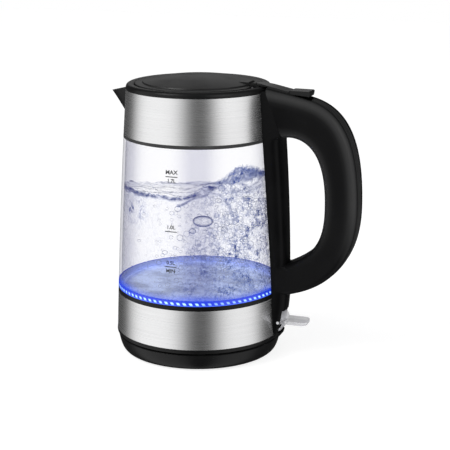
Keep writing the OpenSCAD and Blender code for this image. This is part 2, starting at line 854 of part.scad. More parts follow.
module steam_tube() {
    elbow = [body_r(steam_port_z) + steam_out, 0, steam_port_z];
    color([0.9, 0.9, 0.88]) difference() {
        union() {
            steam_run(steam_r);
            translate(elbow) sphere(r = steam_r, $fn = 48);
            steam_port(steam_r);
        }
        steam_run(steam_bore / 2);
        translate(elbow) sphere(r = steam_bore / 2, $fn = 48);
        translate([-cut, 0, 0]) steam_port(steam_bore / 2);
        translate([0, 0, -cut]) steam_run(steam_bore / 2);
    }
}

// Screws between the frames and the column, in pairs beside the steam tube
slot_half = paddle_w / 2 + paddle_gap;
slot_top = pivot_z + 10.6;
screw_y = 8.5;
screw_r = 1.5;
screw_head_r = 2.5;
lower_screws = [slot_top + screw_r + 0.9];
upper_screws = [band_z + 8, band_z + 19];
lower_screw_out = 6;
upper_screw_out = 7;
module at_screws(heights) {
    for (z = heights) for (y = [-screw_y, screw_y])
        translate([sqrt(pow(body_r(z), 2) - y * y), y, z]) children();
}

module frame_screw_hole(out) {
    long_pin(-12, out, 0, 0, screw_r);
    long_pin(-12, 1 - skin, 0, 0, screw_head_r);
}

module frame_screw(out) {
    long_pin(-skin - 1, 1 - skin, 0, 0, screw_head_r);
    long_pin(1 - skin, out, 0, 0, screw_r);
}

module handle_screws() {
    color(steel) {
        at_screws(lower_screws) frame_screw(lower_screw_out);
        at_screws(upper_screws) frame_screw(upper_screw_out);
    }
}

// Half space in front of the plane where the upper arm leaves the column
module before_root() {
    d = root_out - root_in;
    a = root_in - d * 5;
    b = root_out + d;
    slab([[0, a[1]], a, root_in, b, [0, b[1]]], 80);
}

switch_x = body_r(pivot_z) + 3.6;

module column_solid() {
    loft([for (p = column_spine) column_ring(p)]);
}

module column() {
    color(black) difference() {
        union() {
            intersection() {
                column_solid();
                before_root();
            }
            arm_seat();
        }
        body_core();
        column_channel();
        box(body_r(pivot_z) + 0.6, 100, -slot_half, slot_half, pivot_z - 10.4, slot_top);
        cross_pin(switch_x, pivot_z, switch_pin_d / 2, 2 * slot_half + 4);
        at_screws(lower_screws) frame_screw_hole(lower_screw_out);
        at_screws(upper_screws) frame_screw_hole(upper_screw_out);
    }
}

// Channel for the steam tube, open towards the body
module column_channel() {
    reach = steam_out + steam_r + 0.6;
    slab([[60, slot_top - 1], [body_r(slot_top) + reach, slot_top - 1],
        [body_r(opening_bottom) + reach, opening_bottom],
        [body_r(grip_z) + reach, grip_z],
        [body_r(steam_port_z) + reach, steam_port_z + steam_r + 1],
        [60, steam_port_z + steam_r + 1]], 2 * steam_r + 1.4);
}

module handle_body() {
    color(black) difference() {
        loft([for (i = [0:len(outer_path) - 1]) grip_ring(i)]);
        slab(pocket_outline, pocket_w);
        cross_pin(button_x, button_z, button_pin_d / 2, grip_w - 4);
    }
}

// Flat seat of the lower arm, with the arm's rounded section
module arm_seat() {
    r = grip_round;
    y = foot_half;
    z0 = foot_out[1];
    z1 = foot_in[1];
    depth = 14;
    translate([arm_seat_x - depth, 0, 0]) rotate([90, 0, 90]) linear_extrude(height = depth) union() {
        translate([-y, z0 + r]) square([2 * y, z1 - z0 - 2 * r]);
        translate([r - y, z0]) square([2 * (y - r), z1 - z0]);
        for (cy = [r - y, y - r]) for (cz = [z0 + r, z1 - r]) translate([cy, cz]) circle(r = r);
    }
}

pocket_floor = -8.6;
pocket_outline = [[root_out[0] - 10, root_out[1] + 8], root_out + [-10, pocket_floor + 2.4],
    knee + [0.6, pocket_floor + 2.6], knee + [0.6, 8]];
button_pin_d = 2.5;
button_x = knee[0] - 17.2;
button_z = knee[1] + 0.8;

module handle_cover() {
    color([0.1, 0.1, 0.11]) loft([for (i = [cover_first:cover_last]) strip_ring(i)]);
}

// Strip over hinge and latch, its top follows the line from lid to button
strip_x0 = hinge_x + 1.2;
strip_x1 = knee[0] - 20;
cap_half = (pocket_w - 2 * handle_fit) / 2;
module hinge_cover() {
    top = curve([strip_x0, top_z + 2.8], [root_out[0] - 1.8, top_z + 2],
        [strip_x1 - 10, top_z - 1], [strip_x1, top_z - 3], 10);
    color([0.14, 0.14, 0.15]) difference() {
        intersection() {
            slab(concat([[strip_x0, top_z - 0.4], [strip_x1, top_z - 7]], backwards(top)),
                2 * cap_half);
            cap_round();
        }
        cross_pin(hinge_x, hinge_z, barrel_r + move_gap, 40);
        slab([[0, top_z - 8], [root_out[0] + 0.2, top_z - 8], [root_out[0] + 0.2, top_z + 0.2],
            [well_r + 2, top_z + 0.2], [well_r + 2, ear_top], [0, ear_top]], 40);
        slab([[0, top_z - 12], [strip_x1 + 1, top_z - 12], [strip_x1 + 1, top_z - 5],
            [root_out[0], top_z - 0.2], [0, top_z - 0.2]], 2 * cap_half - 3);
    }
}

// Long barrel that rounds the strip across its width
module cap_round() {
    r = 26;
    translate([strip_x0 - 4, 0, top_z + 3.3 - r]) rotate([0, 93.6, 0])
        cylinder(r = r, h = 60, $fn = 96);
}

module hinge_pin() {
    color(steel) cross_pin(hinge_x, hinge_z, hinge_pin_d / 2, 2 * (ear_in + ear_w));
}

module lid_spring() {
    turns = 5;
    wire = 0.7;
    color(steel) translate([hinge_x, -turns * wire / 2, hinge_z]) rotate([0, 0, 90])
        coil(hinge_pin_d / 2 + wire / 2 + 0.1, wire, turns, wire + 0.02);
}

module button_pin() {
    color(steel) cross_pin(button_x, button_z, button_pin_d / 2, grip_w - 4);
}

latch_half = 3.6;
latch_z = top_z - 3;
latch_x0 = hinge_x + barrel_r + move_gap;
latch_x1 = button_x - 4.6;

module latch_slider() {
    color([0.85, 0.85, 0.85])
        slab([[latch_x0, latch_z], [root_out[0] + 3, latch_z], [latch_x1, latch_z - 4],
            [latch_x1, latch_z - 2.5], [root_out[0] + 3, latch_z + 1.2],
            [latch_x0, latch_z + 1.2]], 2 * latch_half - 2 * move_gap);
}

module latch_spring() {
    color(steel) translate([root_out[0] + 4, 0, latch_z - 4.2]) rotate([0, 9, 0])
        coil(1.3, 0.6, 8, 1.1);
}

module switch_pin() {
    color(steel) cross_pin(switch_x, pivot_z, switch_pin_d / 2, 2 * slot_half + 4);
}

// ---- Lid ----

module lid_cover() {
    edge_z = top_z + 0.2;
    dome_r = dome_d / 2;
    dome_z = edge_z + 0.4 + dome_step;
    crown_z = top_z + crown_h;
    dome = [for (i = [0:dome_n]) let (r = dome_r * (1 - i / dome_n))
        [r, dome_z + (crown_z - dome_z) * (1 - pow(r / dome_r, 2))]];
    under = [for (p = dome) [max(p[0] - 0.4, 0), p[1] - lid_t]];
    color(black) difference() {
        union() {
            difference() {
                turned(concat(
                    [[lid_r - 2.2, top_z - 4], [lid_r - 0.2, top_z - 4], [lid_r, edge_z - 0.6],
                        [lid_r - 0.6, edge_z], [dome_r + 0.7, edge_z + 0.4]],
                    dome, backwards(under), [[dome_r - 0.4, edge_z + 0.4 - lid_t],
                        [lid_r - 2.2, edge_z - lid_t]]
                ));
                box(lid_back, lid_r + cut, -lid_r, lid_r, liner_z - cut, top_z + 20);
                box(hinge_x - 3.4, lid_r + cut, -ear_in - ear_w - move_gap,
                    ear_in + ear_w + move_gap, liner_z - cut, top_z + 20);
            }
            tongue();
            around(3) translate([lid_screw_r, 0, 0]) post(3.2, liner_z + lid_t, top_z + 1.6);
        }
        cross_pin(hinge_x, hinge_z, hinge_pin_d / 2 + run_fit, 40);
        box(hinge_x - barrel_r - 0.6, hinge_x + barrel_r + cut, -2.6, 2.6,
            hinge_z - barrel_r - cut, hinge_z + 2.6);
        around(3) translate([lid_screw_r, 0, 0])
            post(lid_screw_d / 2, liner_z, liner_z + lid_t + lid_screw_l);
    }
}

lid_screw_r = 34;
dome_n = 16;

// Raised block that joins the lid to its hinge barrel
module tongue() {
    x0 = hinge_x - 14.5;
    half = barrel_w / 2;
    slab([[x0, top_z - 0.4], [x0, top_z + 2.6], [x0 + 1.2, top_z + 3.4],
        [hinge_x - 4.6, top_z + 3.2], [hinge_x - 3.4, hinge_z + 2.4],
        [hinge_x, hinge_z - 1], [hinge_x - 3.4, top_z - 2.4]], 2 * half);
    cross_pin(hinge_x, hinge_z, barrel_r, 2 * half);
}

module lid_liner() {
    color([0.12, 0.12, 0.13]) difference() {
        turned([[0, liner_z], [liner_r - 3, liner_z], [liner_r, liner_z + 1],
            [liner_r, liner_z + 1.6], [liner_r - 1.6, liner_z + 1.6],
            [liner_r - 1.6, liner_z + 3.2], [liner_r - 0.4, liner_z + 3.2],
            [liner_r - 0.4, top_z - 4], [liner_r - 2.4, top_z - 4],
            [liner_r - 3.2, liner_z + lid_t], [0, liner_z + lid_t]]);
        around(3) translate([lid_screw_r, 0, 0]) {
            post(lid_screw_d / 2, liner_z - cut, liner_z + lid_t + cut);
            post(lid_screw_d + 0.1, liner_z - cut, liner_z + 1);
        }
        box(hinge_x - barrel_r - 2, lid_r, -ear_in - ear_w - move_gap,
            ear_in + ear_w + move_gap, liner_z + 3.4, top_z);
    }
}

module lid_seal() {
    color([0.75, 0.75, 0.78]) turned([[liner_r - 1.6, liner_z + 1.6],
        [lid_r - 0.4, liner_z + 2.2], [lid_r - 0.2, liner_z + 2.8],
        [liner_r - 1.6, liner_z + 3.2]]);
}

module lid_screws() {
    color(steel) around(3) translate([lid_screw_r, 0, liner_z + 1])
        screw(lid_screw_d, lid_screw_l, 2 * lid_screw_d + 0.2, head_t);
}

// ---- Moving pieces ----

module release_button() {
    x0 = strip_x1 + move_gap;
    top = top_z - 2.2;
    x1 = knee[0] - 1;
    color([0.1, 0.1, 0.11]) difference() {
        union() {
            slab([[x0, top - 1.6], [x0 + 1, top], [x1 - 1, top - 0.2], [x1, top - 1],
                [x1 - 0.6, top - 4.8], [x1 - 3, top - 4.4], [button_x + 2, top - 3.4],
                [button_x + 2.4, button_z], [button_x - 2.4, button_z], [x0, top - 4]],
                pocket_w - 2 * move_gap);
            cross_pin(button_x, button_z, 2.6, pocket_w - 2 * move_gap);
        }
        cross_pin(button_x, button_z, button_pin_d / 2 + run_fit, 40);
    }
}

// Clear paddle with its curved shield and hub
module switch_lever() {
    shield_x = switch_x - 4.4;
    color(clear) difference() {
        union() {
            intersection() {
                box(switch_x, paddle_reach, -paddle_w / 2, paddle_w / 2,
                    pivot_z - paddle_t / 2, pivot_z + paddle_t / 2);
                union() {
                    box(switch_x, paddle_reach - 5, -paddle_w, paddle_w, 0, 100);
                    for (y = [-1, 1]) translate([paddle_reach - 5, y * (paddle_w / 2 - 5), 0])
                        post(5, 0, 100);
                    box(switch_x, paddle_reach, -paddle_w / 2 + 5, paddle_w / 2 - 5, 0, 100);
                }
            }
            intersection() {
                difference() {
                    cross_pin(shield_x, pivot_z, 9.8, paddle_w);
                    cross_pin(shield_x, pivot_z, 7.8, paddle_w + cut);
                }
                box(switch_x + 0.4, switch_x + 20, -20, 20, 0, 60);
            }
            cross_pin(switch_x, pivot_z, switch_pin_d / 2 + 1.6, paddle_w);
        }
        cross_pin(switch_x, pivot_z, switch_pin_d / 2 + run_fit, paddle_w + cut);
    }
}

filter_x = skin + 2.1 - rim_d / 2;
filter_half = 15;
filter_t = 4.5;
filter_bar = 2.4;
filter_z0 = window_z - 3.5;
filter_z1 = liner_z - 0.9;

module filter_frame() {
    color([0.1, 0.1, 0.11]) difference() {
        box(filter_x, filter_x + filter_t, -filter_half, filter_half, filter_z0, filter_z1);
        box(filter_x - cut, filter_x + filter_t + cut, filter_bar - filter_half,
            filter_half - filter_bar, filter_z0 + filter_bar, filter_z1 - filter_bar);
        mesh_sheet();
    }
}

module mesh_sheet() {
    edge = filter_bar / 2;
    box(filter_x + 2, filter_x + 2.6, edge - filter_half, filter_half - edge,
        filter_z0 + edge, filter_z1 - edge);
}

module filter_mesh() {
    color(steel) mesh_sheet();
}

base_shell();
base_floor();
base_foot_ring();
base_screws();
coupler_plug();
plug_contacts();
cord_gland();
coupler_socket();
socket_contacts();
underside_cover();
underside_screws();
lower_frame();
lower_band();
led_board();
led_chips();
light_ring();
glass_gasket();
heating_plate();
heat_spreader();
heating_element();
control_body();
bimetal_discs();
glass_body();
upper_seal();
upper_band();
upper_frame();
collar();
spout();
column();
steam_tube();
handle_body();
handle_cover();
handle_screws();
hinge_cover();
hinge_pin();
lid_spring();
button_pin();
latch_spring();
switch_pin();
lid_cover();
lid_liner();
lid_seal();
lid_screws();
release_button();
latch_slider();
switch_lever();
filter_frame();
filter_mesh();
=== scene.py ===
import math

import bmesh
import bpy
import numpy as np
from bpy.props import FloatProperty, FloatVectorProperty, IntProperty, PointerProperty
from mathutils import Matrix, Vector


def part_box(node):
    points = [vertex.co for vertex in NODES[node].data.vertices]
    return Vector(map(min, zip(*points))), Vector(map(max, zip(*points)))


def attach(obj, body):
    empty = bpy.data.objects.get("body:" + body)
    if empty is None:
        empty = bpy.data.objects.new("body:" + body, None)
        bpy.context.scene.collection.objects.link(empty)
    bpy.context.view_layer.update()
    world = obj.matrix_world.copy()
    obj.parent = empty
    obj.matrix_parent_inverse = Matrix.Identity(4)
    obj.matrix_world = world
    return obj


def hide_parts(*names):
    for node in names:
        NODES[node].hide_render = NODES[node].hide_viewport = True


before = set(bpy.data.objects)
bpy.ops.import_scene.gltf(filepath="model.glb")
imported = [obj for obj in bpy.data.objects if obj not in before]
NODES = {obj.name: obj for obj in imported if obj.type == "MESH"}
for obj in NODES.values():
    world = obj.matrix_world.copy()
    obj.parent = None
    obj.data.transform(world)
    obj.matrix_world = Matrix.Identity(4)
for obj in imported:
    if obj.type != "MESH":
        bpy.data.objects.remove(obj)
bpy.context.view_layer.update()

bl_info = {
    "name": "Electric kettle",
    "version": (1, 0, 0),
    "blender": (4, 5, 0),
    "location": "3D View > Sidebar > Kettle",
    "description": "Dresses the kettle's solids: plastics, steel, glass, boiling water and light",
    "category": "Object",
}

MM = 0.001


# ---- Levels and sizes that the new pieces share with the solids, in millimetres ----

X, Y, Z = 0, 1, 2


def low(node, axis):
    """Lower side of a node's box along an axis."""
    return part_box(node)[0][axis] / MM


def high(node, axis):
    """Upper side of a node's box along an axis."""
    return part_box(node)[1][axis] / MM


FOOT_Z = low("lower_band", Z)
SEAT_Z = high("lower_band", Z)
LIGHT_Z = low("light_ring", Z)
GLASS_Z = low("glass_body", Z)
SEAL_Z = high("glass_body", Z)
BAND_Z = low("upper_band", Z)
RIM_Z = high("upper_band", Z)
TOP_Z = high("collar", Z) - 1.5
FOOT_D = high("lower_band", Y) * 2
RIM_D = 129.6
SIDE_BOW = 1.1
GLASS_T = 2.5
PLATE_Z = high("heating_plate", Z)
PLATE_R = high("heating_plate", X)
FRONT = -70.0  # azimuth of the side towards the camera, in degrees
PANELS = FRONT - 67, FRONT + 57  # azimuths of the studio's two bright panels
PAINTED_REFLECTIONS = FRONT - 33, FRONT + 31  # azimuths of the painted reflections of the panels on the glass
MARK_AZIMUTH = -90.0
MARK_LINE_W, MARK_LINE_T = 11, 0.8
PRINT_T = 0.06
TURN_STEPS = 256
SHARP = 38  # edges sharper than this many degrees stay sharp


def body_r(z):
    """Radius of the body's side at height z: a cone from foot to rim with a parabolic bow."""
    t = (np.asarray(z, float) - FOOT_Z) / (RIM_Z - FOOT_Z)
    return FOOT_D / 2 - (FOOT_D - RIM_D) / 2 * t + 4 * SIDE_BOW * t * (1 - t)


# ---- Mesh tools ----

def cubic(a, b, c, d, t):
    """Points of the cubic curve with ends a, d and control points b, c at parameters t."""
    a, b, c, d = (np.asarray(p, float) for p in (a, b, c, d))
    t = np.asarray(t, float)[:, None]
    s = 1 - t
    return a * s**3 + 3 * b * s**2 * t + 3 * c * s * t**2 + d * t**3


def smooth_step(x, lo, hi):
    """Ramp from 0 at lo to 1 at hi with flat ends."""
    t = np.clip((x - lo) / (hi - lo), 0, 1)
    return t * t * (3 - 2 * t)


def around(radius, turn, z):
    """Points at a radius and an angle about Z, at height z."""
    return np.stack(np.broadcast_arrays(radius * np.cos(turn), radius * np.sin(turn), z), -1)


def mesh_from(name, points, faces, sharp=SHARP):
    """Mesh object from points in millimetres, smooth but for edges sharper than the angle."""
    mesh = bpy.data.meshes.new(name)
    mesh.from_pydata((np.asarray(points) * MM).tolist(), [], faces)
    mesh.validate()
    mesh.shade_smooth()
    mesh.set_sharp_from_angle(angle=math.radians(sharp))
    piece = bpy.data.objects.new(name, mesh)
    bpy.context.scene.collection.objects.link(piece)
    return piece


def grid_faces(rows, cols):
    """Quads of a grid of closed rings that run one after another."""
    j = np.arange(rows - 1)[:, None]
    i = np.arange(cols)[None, :]
    k = (i + 1) % cols
    quads = np.stack([j * cols + i, j * cols + k, (j + 1) * cols + k, (j + 1) * cols + i], -1)
    return quads.reshape(-1, 4).tolist()


def outward(piece, sharp=SHARP):
    """Turns all faces of a closed shell outwards."""
    shape = bmesh.new()
    shape.from_mesh(piece.data)
    bmesh.ops.recalc_face_normals(shape, faces=shape.faces)
    shape.to_mesh(piece.data)
    shape.free()
    piece.data.shade_smooth()
    piece.data.set_sharp_from_angle(angle=math.radians(sharp))
    return piece


def lofted(name, rings):
    """Closed solid through a (rows, cols, 3) array of rings, with a flat cap on each end."""
    rows, cols = rings.shape[:2]
    last = (rows - 1) * cols
    caps = [list(range(cols - 1, -1, -1)), list(range(last, last + cols))]
    return outward(mesh_from(name, rings.reshape(-1, 3), grid_faces(rows, cols) + caps))


def revolved(name, profile, closed=True):
    """Solid of revolution about Z: ring k is the profile's point k swept through all angles.
    With closed, the last ring joins the first one, so the profile is a closed loop."""
    radius, height = np.asarray(profile, float).T[..., None]
    turn = np.linspace(0, 2 * np.pi, TURN_STEPS, endpoint=False)
    rings = around(radius, turn, height)
    if not closed:
        return lofted(name, rings)
    last = (len(rings) - 1) * TURN_STEPS
    faces = grid_faces(len(rings), TURN_STEPS)
    faces += [[last + i, last + (i + 1) % TURN_STEPS, (i + 1) % TURN_STEPS, i]
              for i in range(TURN_STEPS)]
    return outward(mesh_from(name, rings.reshape(-1, 3), faces))


def drawn(name, outline, axis, lo, hi):
    """Outline drawn out along one axis from lo to hi: its points keep their other two
    coordinates."""
    rings = np.zeros((2, len(outline), 3))
    rings[..., [n for n in range(3) if n != axis]] = outline
    rings[..., axis] = [[lo], [hi]]
    return lofted(name, rings)


def paint(piece, **layers):
    """Stores values on the piece's points, one layer for each name."""
    for name, values in layers.items():
        layer = piece.data.attributes.new(name, "FLOAT", "POINT")
        layer.data.foreach_set("value", np.ascontiguousarray(values, np.float32))


def carve(piece, *steps):
    """Applies boolean steps, each an operation and its tool, and removes the tools."""
    for operation, tool in steps:
        step = piece.modifiers.new(operation.lower(), "BOOLEAN")
        step.operation, step.object, step.solver = operation, tool, "EXACT"
    bpy.context.view_layer.update()
    shaped = piece.evaluated_get(bpy.context.evaluated_depsgraph_get())
    mesh = bpy.data.meshes.new_from_object(shaped)
    mesh.name = piece.name
    piece.modifiers.clear()
    piece.data = mesh
    for _, tool in steps:
        bpy.data.objects.remove(tool)
    mesh.shade_smooth()
    mesh.set_sharp_from_angle(angle=math.radians(SHARP))


# ---- Shader tools ----

class Link:
    """One shader socket. The usual operators on it add Math nodes."""

    def __init__(self, finish, socket):
        self.finish, self.socket = finish, socket

    def _maths(self, operation, *values):
        return self.finish.node("ShaderNodeMath", {"operation": operation}, dict(enumerate(values)))

    def __add__(self, other):
        return self._maths("ADD", self, other)

    def __sub__(self, other):
        return self._maths("SUBTRACT", self, other)

    def __rsub__(self, other):
        return self._maths("SUBTRACT", other, self)

    def __mul__(self, other):
        return self._maths("MULTIPLY", self, other)

    def __pow__(self, other):
        return self._maths("POWER", self, other)

    __radd__ = __add__
    __rmul__ = __mul__

    def sine(self):
        return self._maths("SINE", self)

    def at_least(self, other):
        return self._maths("MAXIMUM", self, other)

    def between(self, lo, hi, to_lo=0.0, to_hi=1.0):
        """Ramp with flat ends from to_lo at lo to to_hi at hi."""
        settings = {"interpolation_type": "SMOOTHSTEP"}
        values = {"Value": self, "From Min": lo, "From Max": hi, "To Min": to_lo, "To Max": to_hi}
        return self.finish.node("ShaderNodeMapRange", settings, values)


class NodeTree:
    """Adds nodes to a tree. Values that are Links are connected and plain ones are set."""

    def __init__(self, tree):
        self.tree = tree

    def put(self, socket, value):
        if isinstance(value, Link):
            self.tree.links.new(value.socket, socket)
        else:
            socket.default_value = value

    def node(self, kind, settings=None, values=None, out=0):
        """Adds a node: its settings first, then the values or links of its sockets."""
        made = self.tree.nodes.new(kind)
        for name, value in (settings or {}).items():
            setattr(made, name, value)
        for name, value in (values or {}).items():
            self.put(made.inputs[name], value)
        return Link(self, made.outputs[out])

    def place(self, scale=(1, 1, 1)):
        """Object coordinates in metres, stretched by scale."""
        spot = self.node("ShaderNodeTexCoord", out=3)
        return self.node("ShaderNodeMapping", {}, {"Vector": spot, "Scale": scale})

    def part(self, axis):
        """One object coordinate in metres."""
        return self.node("ShaderNodeSeparateXYZ", {}, {0: self.node("ShaderNodeTexCoord", out=3)},
                         out=axis)

    def towards(self, azimuth, spot=None):
        """Cosine between the place's direction from the axis and an azimuth in degrees."""
        spot = spot or self.node("ShaderNodeTexCoord", out=3)
        flat = self.node("ShaderNodeVectorMath", {"operation": "MULTIPLY"}, {0: spot, 1: (1, 1, 0)})
        flat = self.node("ShaderNodeVectorMath", {"operation": "NORMALIZE"}, {0: flat})
        turn = math.radians(azimuth)
        return self.node("ShaderNodeVectorMath", {"operation": "DOT_PRODUCT"},
                         {0: flat, 1: (math.cos(turn), math.sin(turn), 0)}, out=1)

    def noise(self, scale, detail=3.0, stretch=(1, 1, 1)):
        values = {"Vector": self.place(stretch), "Scale": scale, "Detail": detail}
        return self.node("ShaderNodeTexNoise", {}, values)

    def painted(self, name):
        """Value that the mesh carries on its points under the given name."""
        return self.node("ShaderNodeAttribute", {"attribute_name": name}, {}, out=2)

    def cells(self, scale):
        """Distance from the edge of the nearest cell of a Voronoi pattern."""
        return self.node("ShaderNodeTexVoronoi", {"feature": "DISTANCE_TO_EDGE"},
                         {"Vector": self.place(), "Scale": scale})

    def mix(self, amount, a, b):
        """Colour a where amount is 0 and b where it is 1."""
        pad = [v if isinstance(v, Link) else (*v[:3], 1) for v in (a, b)]
        return self.node("ShaderNodeMix", {"data_type": "RGBA"},
                         {0: amount, 6: pad[0], 7: pad[1]}, out=2)

    def facing(self, blend=0.5):
        """0 where the surface faces the eye and 1 at its silhouette."""
        return self.node("ShaderNodeLayerWeight", {}, {"Blend": blend}, out=1)


class Finish(NodeTree):
    """A material while it is being built around its Principled surface. In the names of
    sockets an underscore stands for a space."""

    def __init__(self, name, colour, roughness, metallic=0.0, **constants):
        self.material = bpy.data.materials.new(name)
        self.material.use_nodes = True
        super().__init__(self.material.node_tree)
        self.surface = self.tree.nodes["Principled BSDF"]
        self.set(Base_Color=(*colour[:3], 1), Roughness=roughness, Metallic=metallic, **constants)

    def set(self, **values):
        for name, value in values.items():
            self.put(self.surface.inputs[name.replace("_", " ")], value)
        return self

    def bump(self, height, strength, distance):
        values = {"Height": height, "Strength": strength, "Distance": distance}
        return self.set(Normal=self.node("ShaderNodeBump", {}, values))


def dress(piece, finish):
    """Gives the piece one material."""
    piece.data.materials.clear()
    piece.data.materials.append(finish.material)


def shade_of(colour, factor, lift=0.0):
    """Colour times factor plus lift."""
    return tuple(c * factor + lift for c in colour[:3])


# ---- Finishes ----

def moulded(name, colour, roughness, grain, grain_scale, specular=0.16, sheen_mask=None):
    """Injection-moulded plastic: fine mould grain, soft smudges and a little dust of handling.
    An optional mask, given by name, marks a painted sheen: places painted paler and made smoother
    where highlights fall along rounded edges."""
    made = Finish(name, colour, roughness, Specular_IOR_Level=specular)
    smudge = made.noise(28, 4).between(0.42, 0.68)
    specks = made.noise(900, 1).between(0.70, 0.80)
    base = made.mix(smudge * 0.35 + specks * 0.4, colour, shade_of(colour, 1.7, 0.002))
    rough = roughness - 0.04 + smudge * 0.09
    if sheen_mask:
        # Painted sheen: the masked places get a paler colour, a painted highlight.
        rubbed = made.painted(sheen_mask)
        base = made.mix(rubbed, base, shade_of(colour, 1, 0.035))
        rough = rough - rubbed * 0.06
    made.set(Base_Color=base, Roughness=rough)
    return made.bump(made.noise(grain_scale, 2), grain, 0.0002)


def brushed(name, colour, roughness, stretch, anisotropy):
    """Brushed steel: hair-fine lines along the brushing direction and faint broad streaks."""
    made = Finish(name, colour, roughness, 1.0, Anisotropic=anisotropy)
    lines = made.noise(1.0, 4, stretch)
    broad = made.noise(1.0, 2, tuple(s * 0.16 for s in stretch))
    made.set(Base_Color=made.mix(lines.between(0.30, 0.72) * 0.5 + broad * 0.3, colour,
                                 shade_of(colour, 0.86)),
             Roughness=roughness - 0.05 + lines * 0.12)
    return made.bump(lines, 0.05, 0.0001)


def lit_plate(name, colour, light_colour):
    """Brushed floor of the kettle with a painted glow: an emission, paler in streaks, that stands
    in for the light falling on it through the glass.
    """
    made = brushed(name, colour, 0.34, (420, 420, 60), 0.3)
    streaks = made.noise(38, 4, (1, 2.2, 1)).between(0.34, 0.62)
    return made.set(Emission_Strength=1.15, Emission_Color=made.mix(
        streaks, shade_of(light_colour, 0.45), light_colour))


def plain_metal(name, colour, roughness):
    """Turned or drawn metal with fine tool marks and a dull tarnish in patches."""
    made = Finish(name, colour, roughness, 1.0)
    patches = made.noise(160, 4).between(0.4, 0.7)
    made.set(Base_Color=made.mix(patches * 0.5, colour, shade_of(colour, 0.62)),
             Roughness=roughness + patches * 0.15)
    return made.bump(made.noise(700, 2), 0.08, 0.0001)


def soft(name, colour, roughness, alpha=1.0):
    """Rubber or silicone: matt with a faint bloom."""
    made = Finish(name, colour, roughness, Alpha=alpha)
    bloom = made.noise(45, 4).between(0.45, 0.75)
    made.set(Base_Color=made.mix(bloom * 0.3, colour, shade_of(colour, 0.8, 0.05)),
             Roughness=roughness - bloom * 0.12)
    return made.bump(made.noise(1400, 2), 0.06, 0.0001)


LIT_STRENGTH = 0.2  # of the light ring's blue on glass and water
LIT_GLASS, LIT_WATER = (0.03, 0.12, 1.0), (0.035, 0.085, 0.72)


def drinking_glass(name, tint, rim_tint, light_colour):
    """Clear wall with a faint tint that deepens towards its silhouette. In two upright stripes,
    where the glass mirrors the studio's bright panels, it is painted clearer: a painted reflection.
    The light ring's blue is painted on its foot as a glow, and fine water spots break the gloss."""
    made = Finish(name, tint, 0.03, Specular_IOR_Level=0.5, Emission_Strength=LIT_STRENGTH)
    edge = made.facing(0.5)
    spots = made.noise(260, 2).between(0.66, 0.74)
    # Painted reflection of the two bright panels: the wall's tint thins in two upright stripes.
    left, right = (made.towards(azimuth).between(0.88, 0.995) for azimuth in PAINTED_REFLECTIONS)
    stripes = left.at_least(right)
    back = made.towards(FRONT + 180).between(-0.2, 0.3)
    # Painted glow of the light ring on the glass's foot, weaker at the back.
    lit = made.part(Z).between(GLASS_Z * MM, (GLASS_Z + 9) * MM, 1.0, 0.0) * (1 - back * 0.75)
    wall = (0.19 - stripes * 0.145) * (1 - back) + edge ** 3.0 * 0.26
    return made.set(
        Base_Color=made.mix(lit * 0.8, made.mix(edge ** 1.4, tint, rim_tint), light_colour),
        Alpha=wall + lit ** 2.0 * 0.18 + spots * 0.01,
        Roughness=0.02 + spots * 0.2,
        Emission_Color=made.mix(lit ** 2.0, (0, 0, 0), light_colour))


def water_finish(name, clear, mid, deep, light_colour):
    """Boiling water as a clear skin. What the mesh carries on its points steers it: ridge draws
    dark blue streaks, painted shade of the waves, churn brings in patches, specks and rings of
    crowded bubbles, and glow is the blue of the light ring."""
    made = Finish(name, clear, 0.08, Specular_IOR_Level=0.3, Emission_Strength=LIT_STRENGTH)
    ridge, churn, glow = made.painted("ridge"), made.painted("churn"), made.painted("glow")
    cloud = made.noise(85, 5).between(0.40, 0.60)
    specks = made.noise(430, 3).between(0.47, 0.58)
    coarse = made.noise(230, 3).between(0.49, 0.60)
    rings = made.cells(250).between(0.0, 0.13, 1.0, 0.0)
    foam = (cloud * 0.75 + 0.25) * (specks * 0.50 + coarse * 0.50 + rings * 0.42 + 0.05) * churn
    broken = made.noise(170, 5, (1, 1, 2.0)).between(0.30, 0.60)
    wave = ridge * (broken * 0.75 + 0.35)
    shade = wave.at_least(foam)
    dark = ((foam - 0.45) * 0.9).at_least((wave - 0.30) * 1.6)
    bubbly = made.mix(shade.between(0.0, 0.5), clear, made.mix(dark, mid, deep))
    return made.set(
        Base_Color=made.mix(glow, bubbly, light_colour),
        Alpha=(wave * 0.95).at_least(foam * 0.80).at_least(glow * 0.5) + 0.015,
        Emission_Color=made.mix(glow, (0, 0, 0), light_colour))


def bubble_finish(name, centre, rim, alpha, start, full):
    """Thin shell of a bubble: open in the middle and painted dark blue towards its outline, painted
    shade where the bubble bends the light away. The rim sets in where the surface's tilt passes
    start and is whole at full."""
    made = Finish(name, centre, 0.04)
    edge = made.facing(0.42).between(start, full)
    return made.set(Base_Color=made.mix(edge, centre, rim), Alpha=edge * alpha + 0.012)


def light_finish(name, deep, bright, dots, strength):
    """Light guide: deep blue with a row of ribs that catch the diodes' light. The ribs are a
    sine of the angle about the axis, which leans with the height."""
    made = Finish(name, deep, 0.25, Emission_Strength=strength)
    x, y, z = made.part(X), made.part(Y), made.part(Z)
    angle = made.node("ShaderNodeMath", {"operation": "ARCTAN2"}, {0: y, 1: x})
    ribs = (angle * dots + z * 700).sine().between(-0.35, 0.65)
    middle = (LIGHT_Z + 2.0) * MM
    half = 1.7 * MM
    row = z.between(middle - half, middle) * z.between(middle, middle + half, 1.0, 0.0)
    uneven = made.noise(24, 2).between(0.35, 0.65, 0.45, 1.0)
    foot = z.between(LIGHT_Z * MM, (LIGHT_Z + 0.9) * MM, 1.0, 0.0)
    glow = made.mix(ribs * row * uneven, made.mix(foot * 0.6, deep, bright), (0.42, 0.72, 1.0))
    return made.set(Base_Color=glow, Emission_Color=glow)


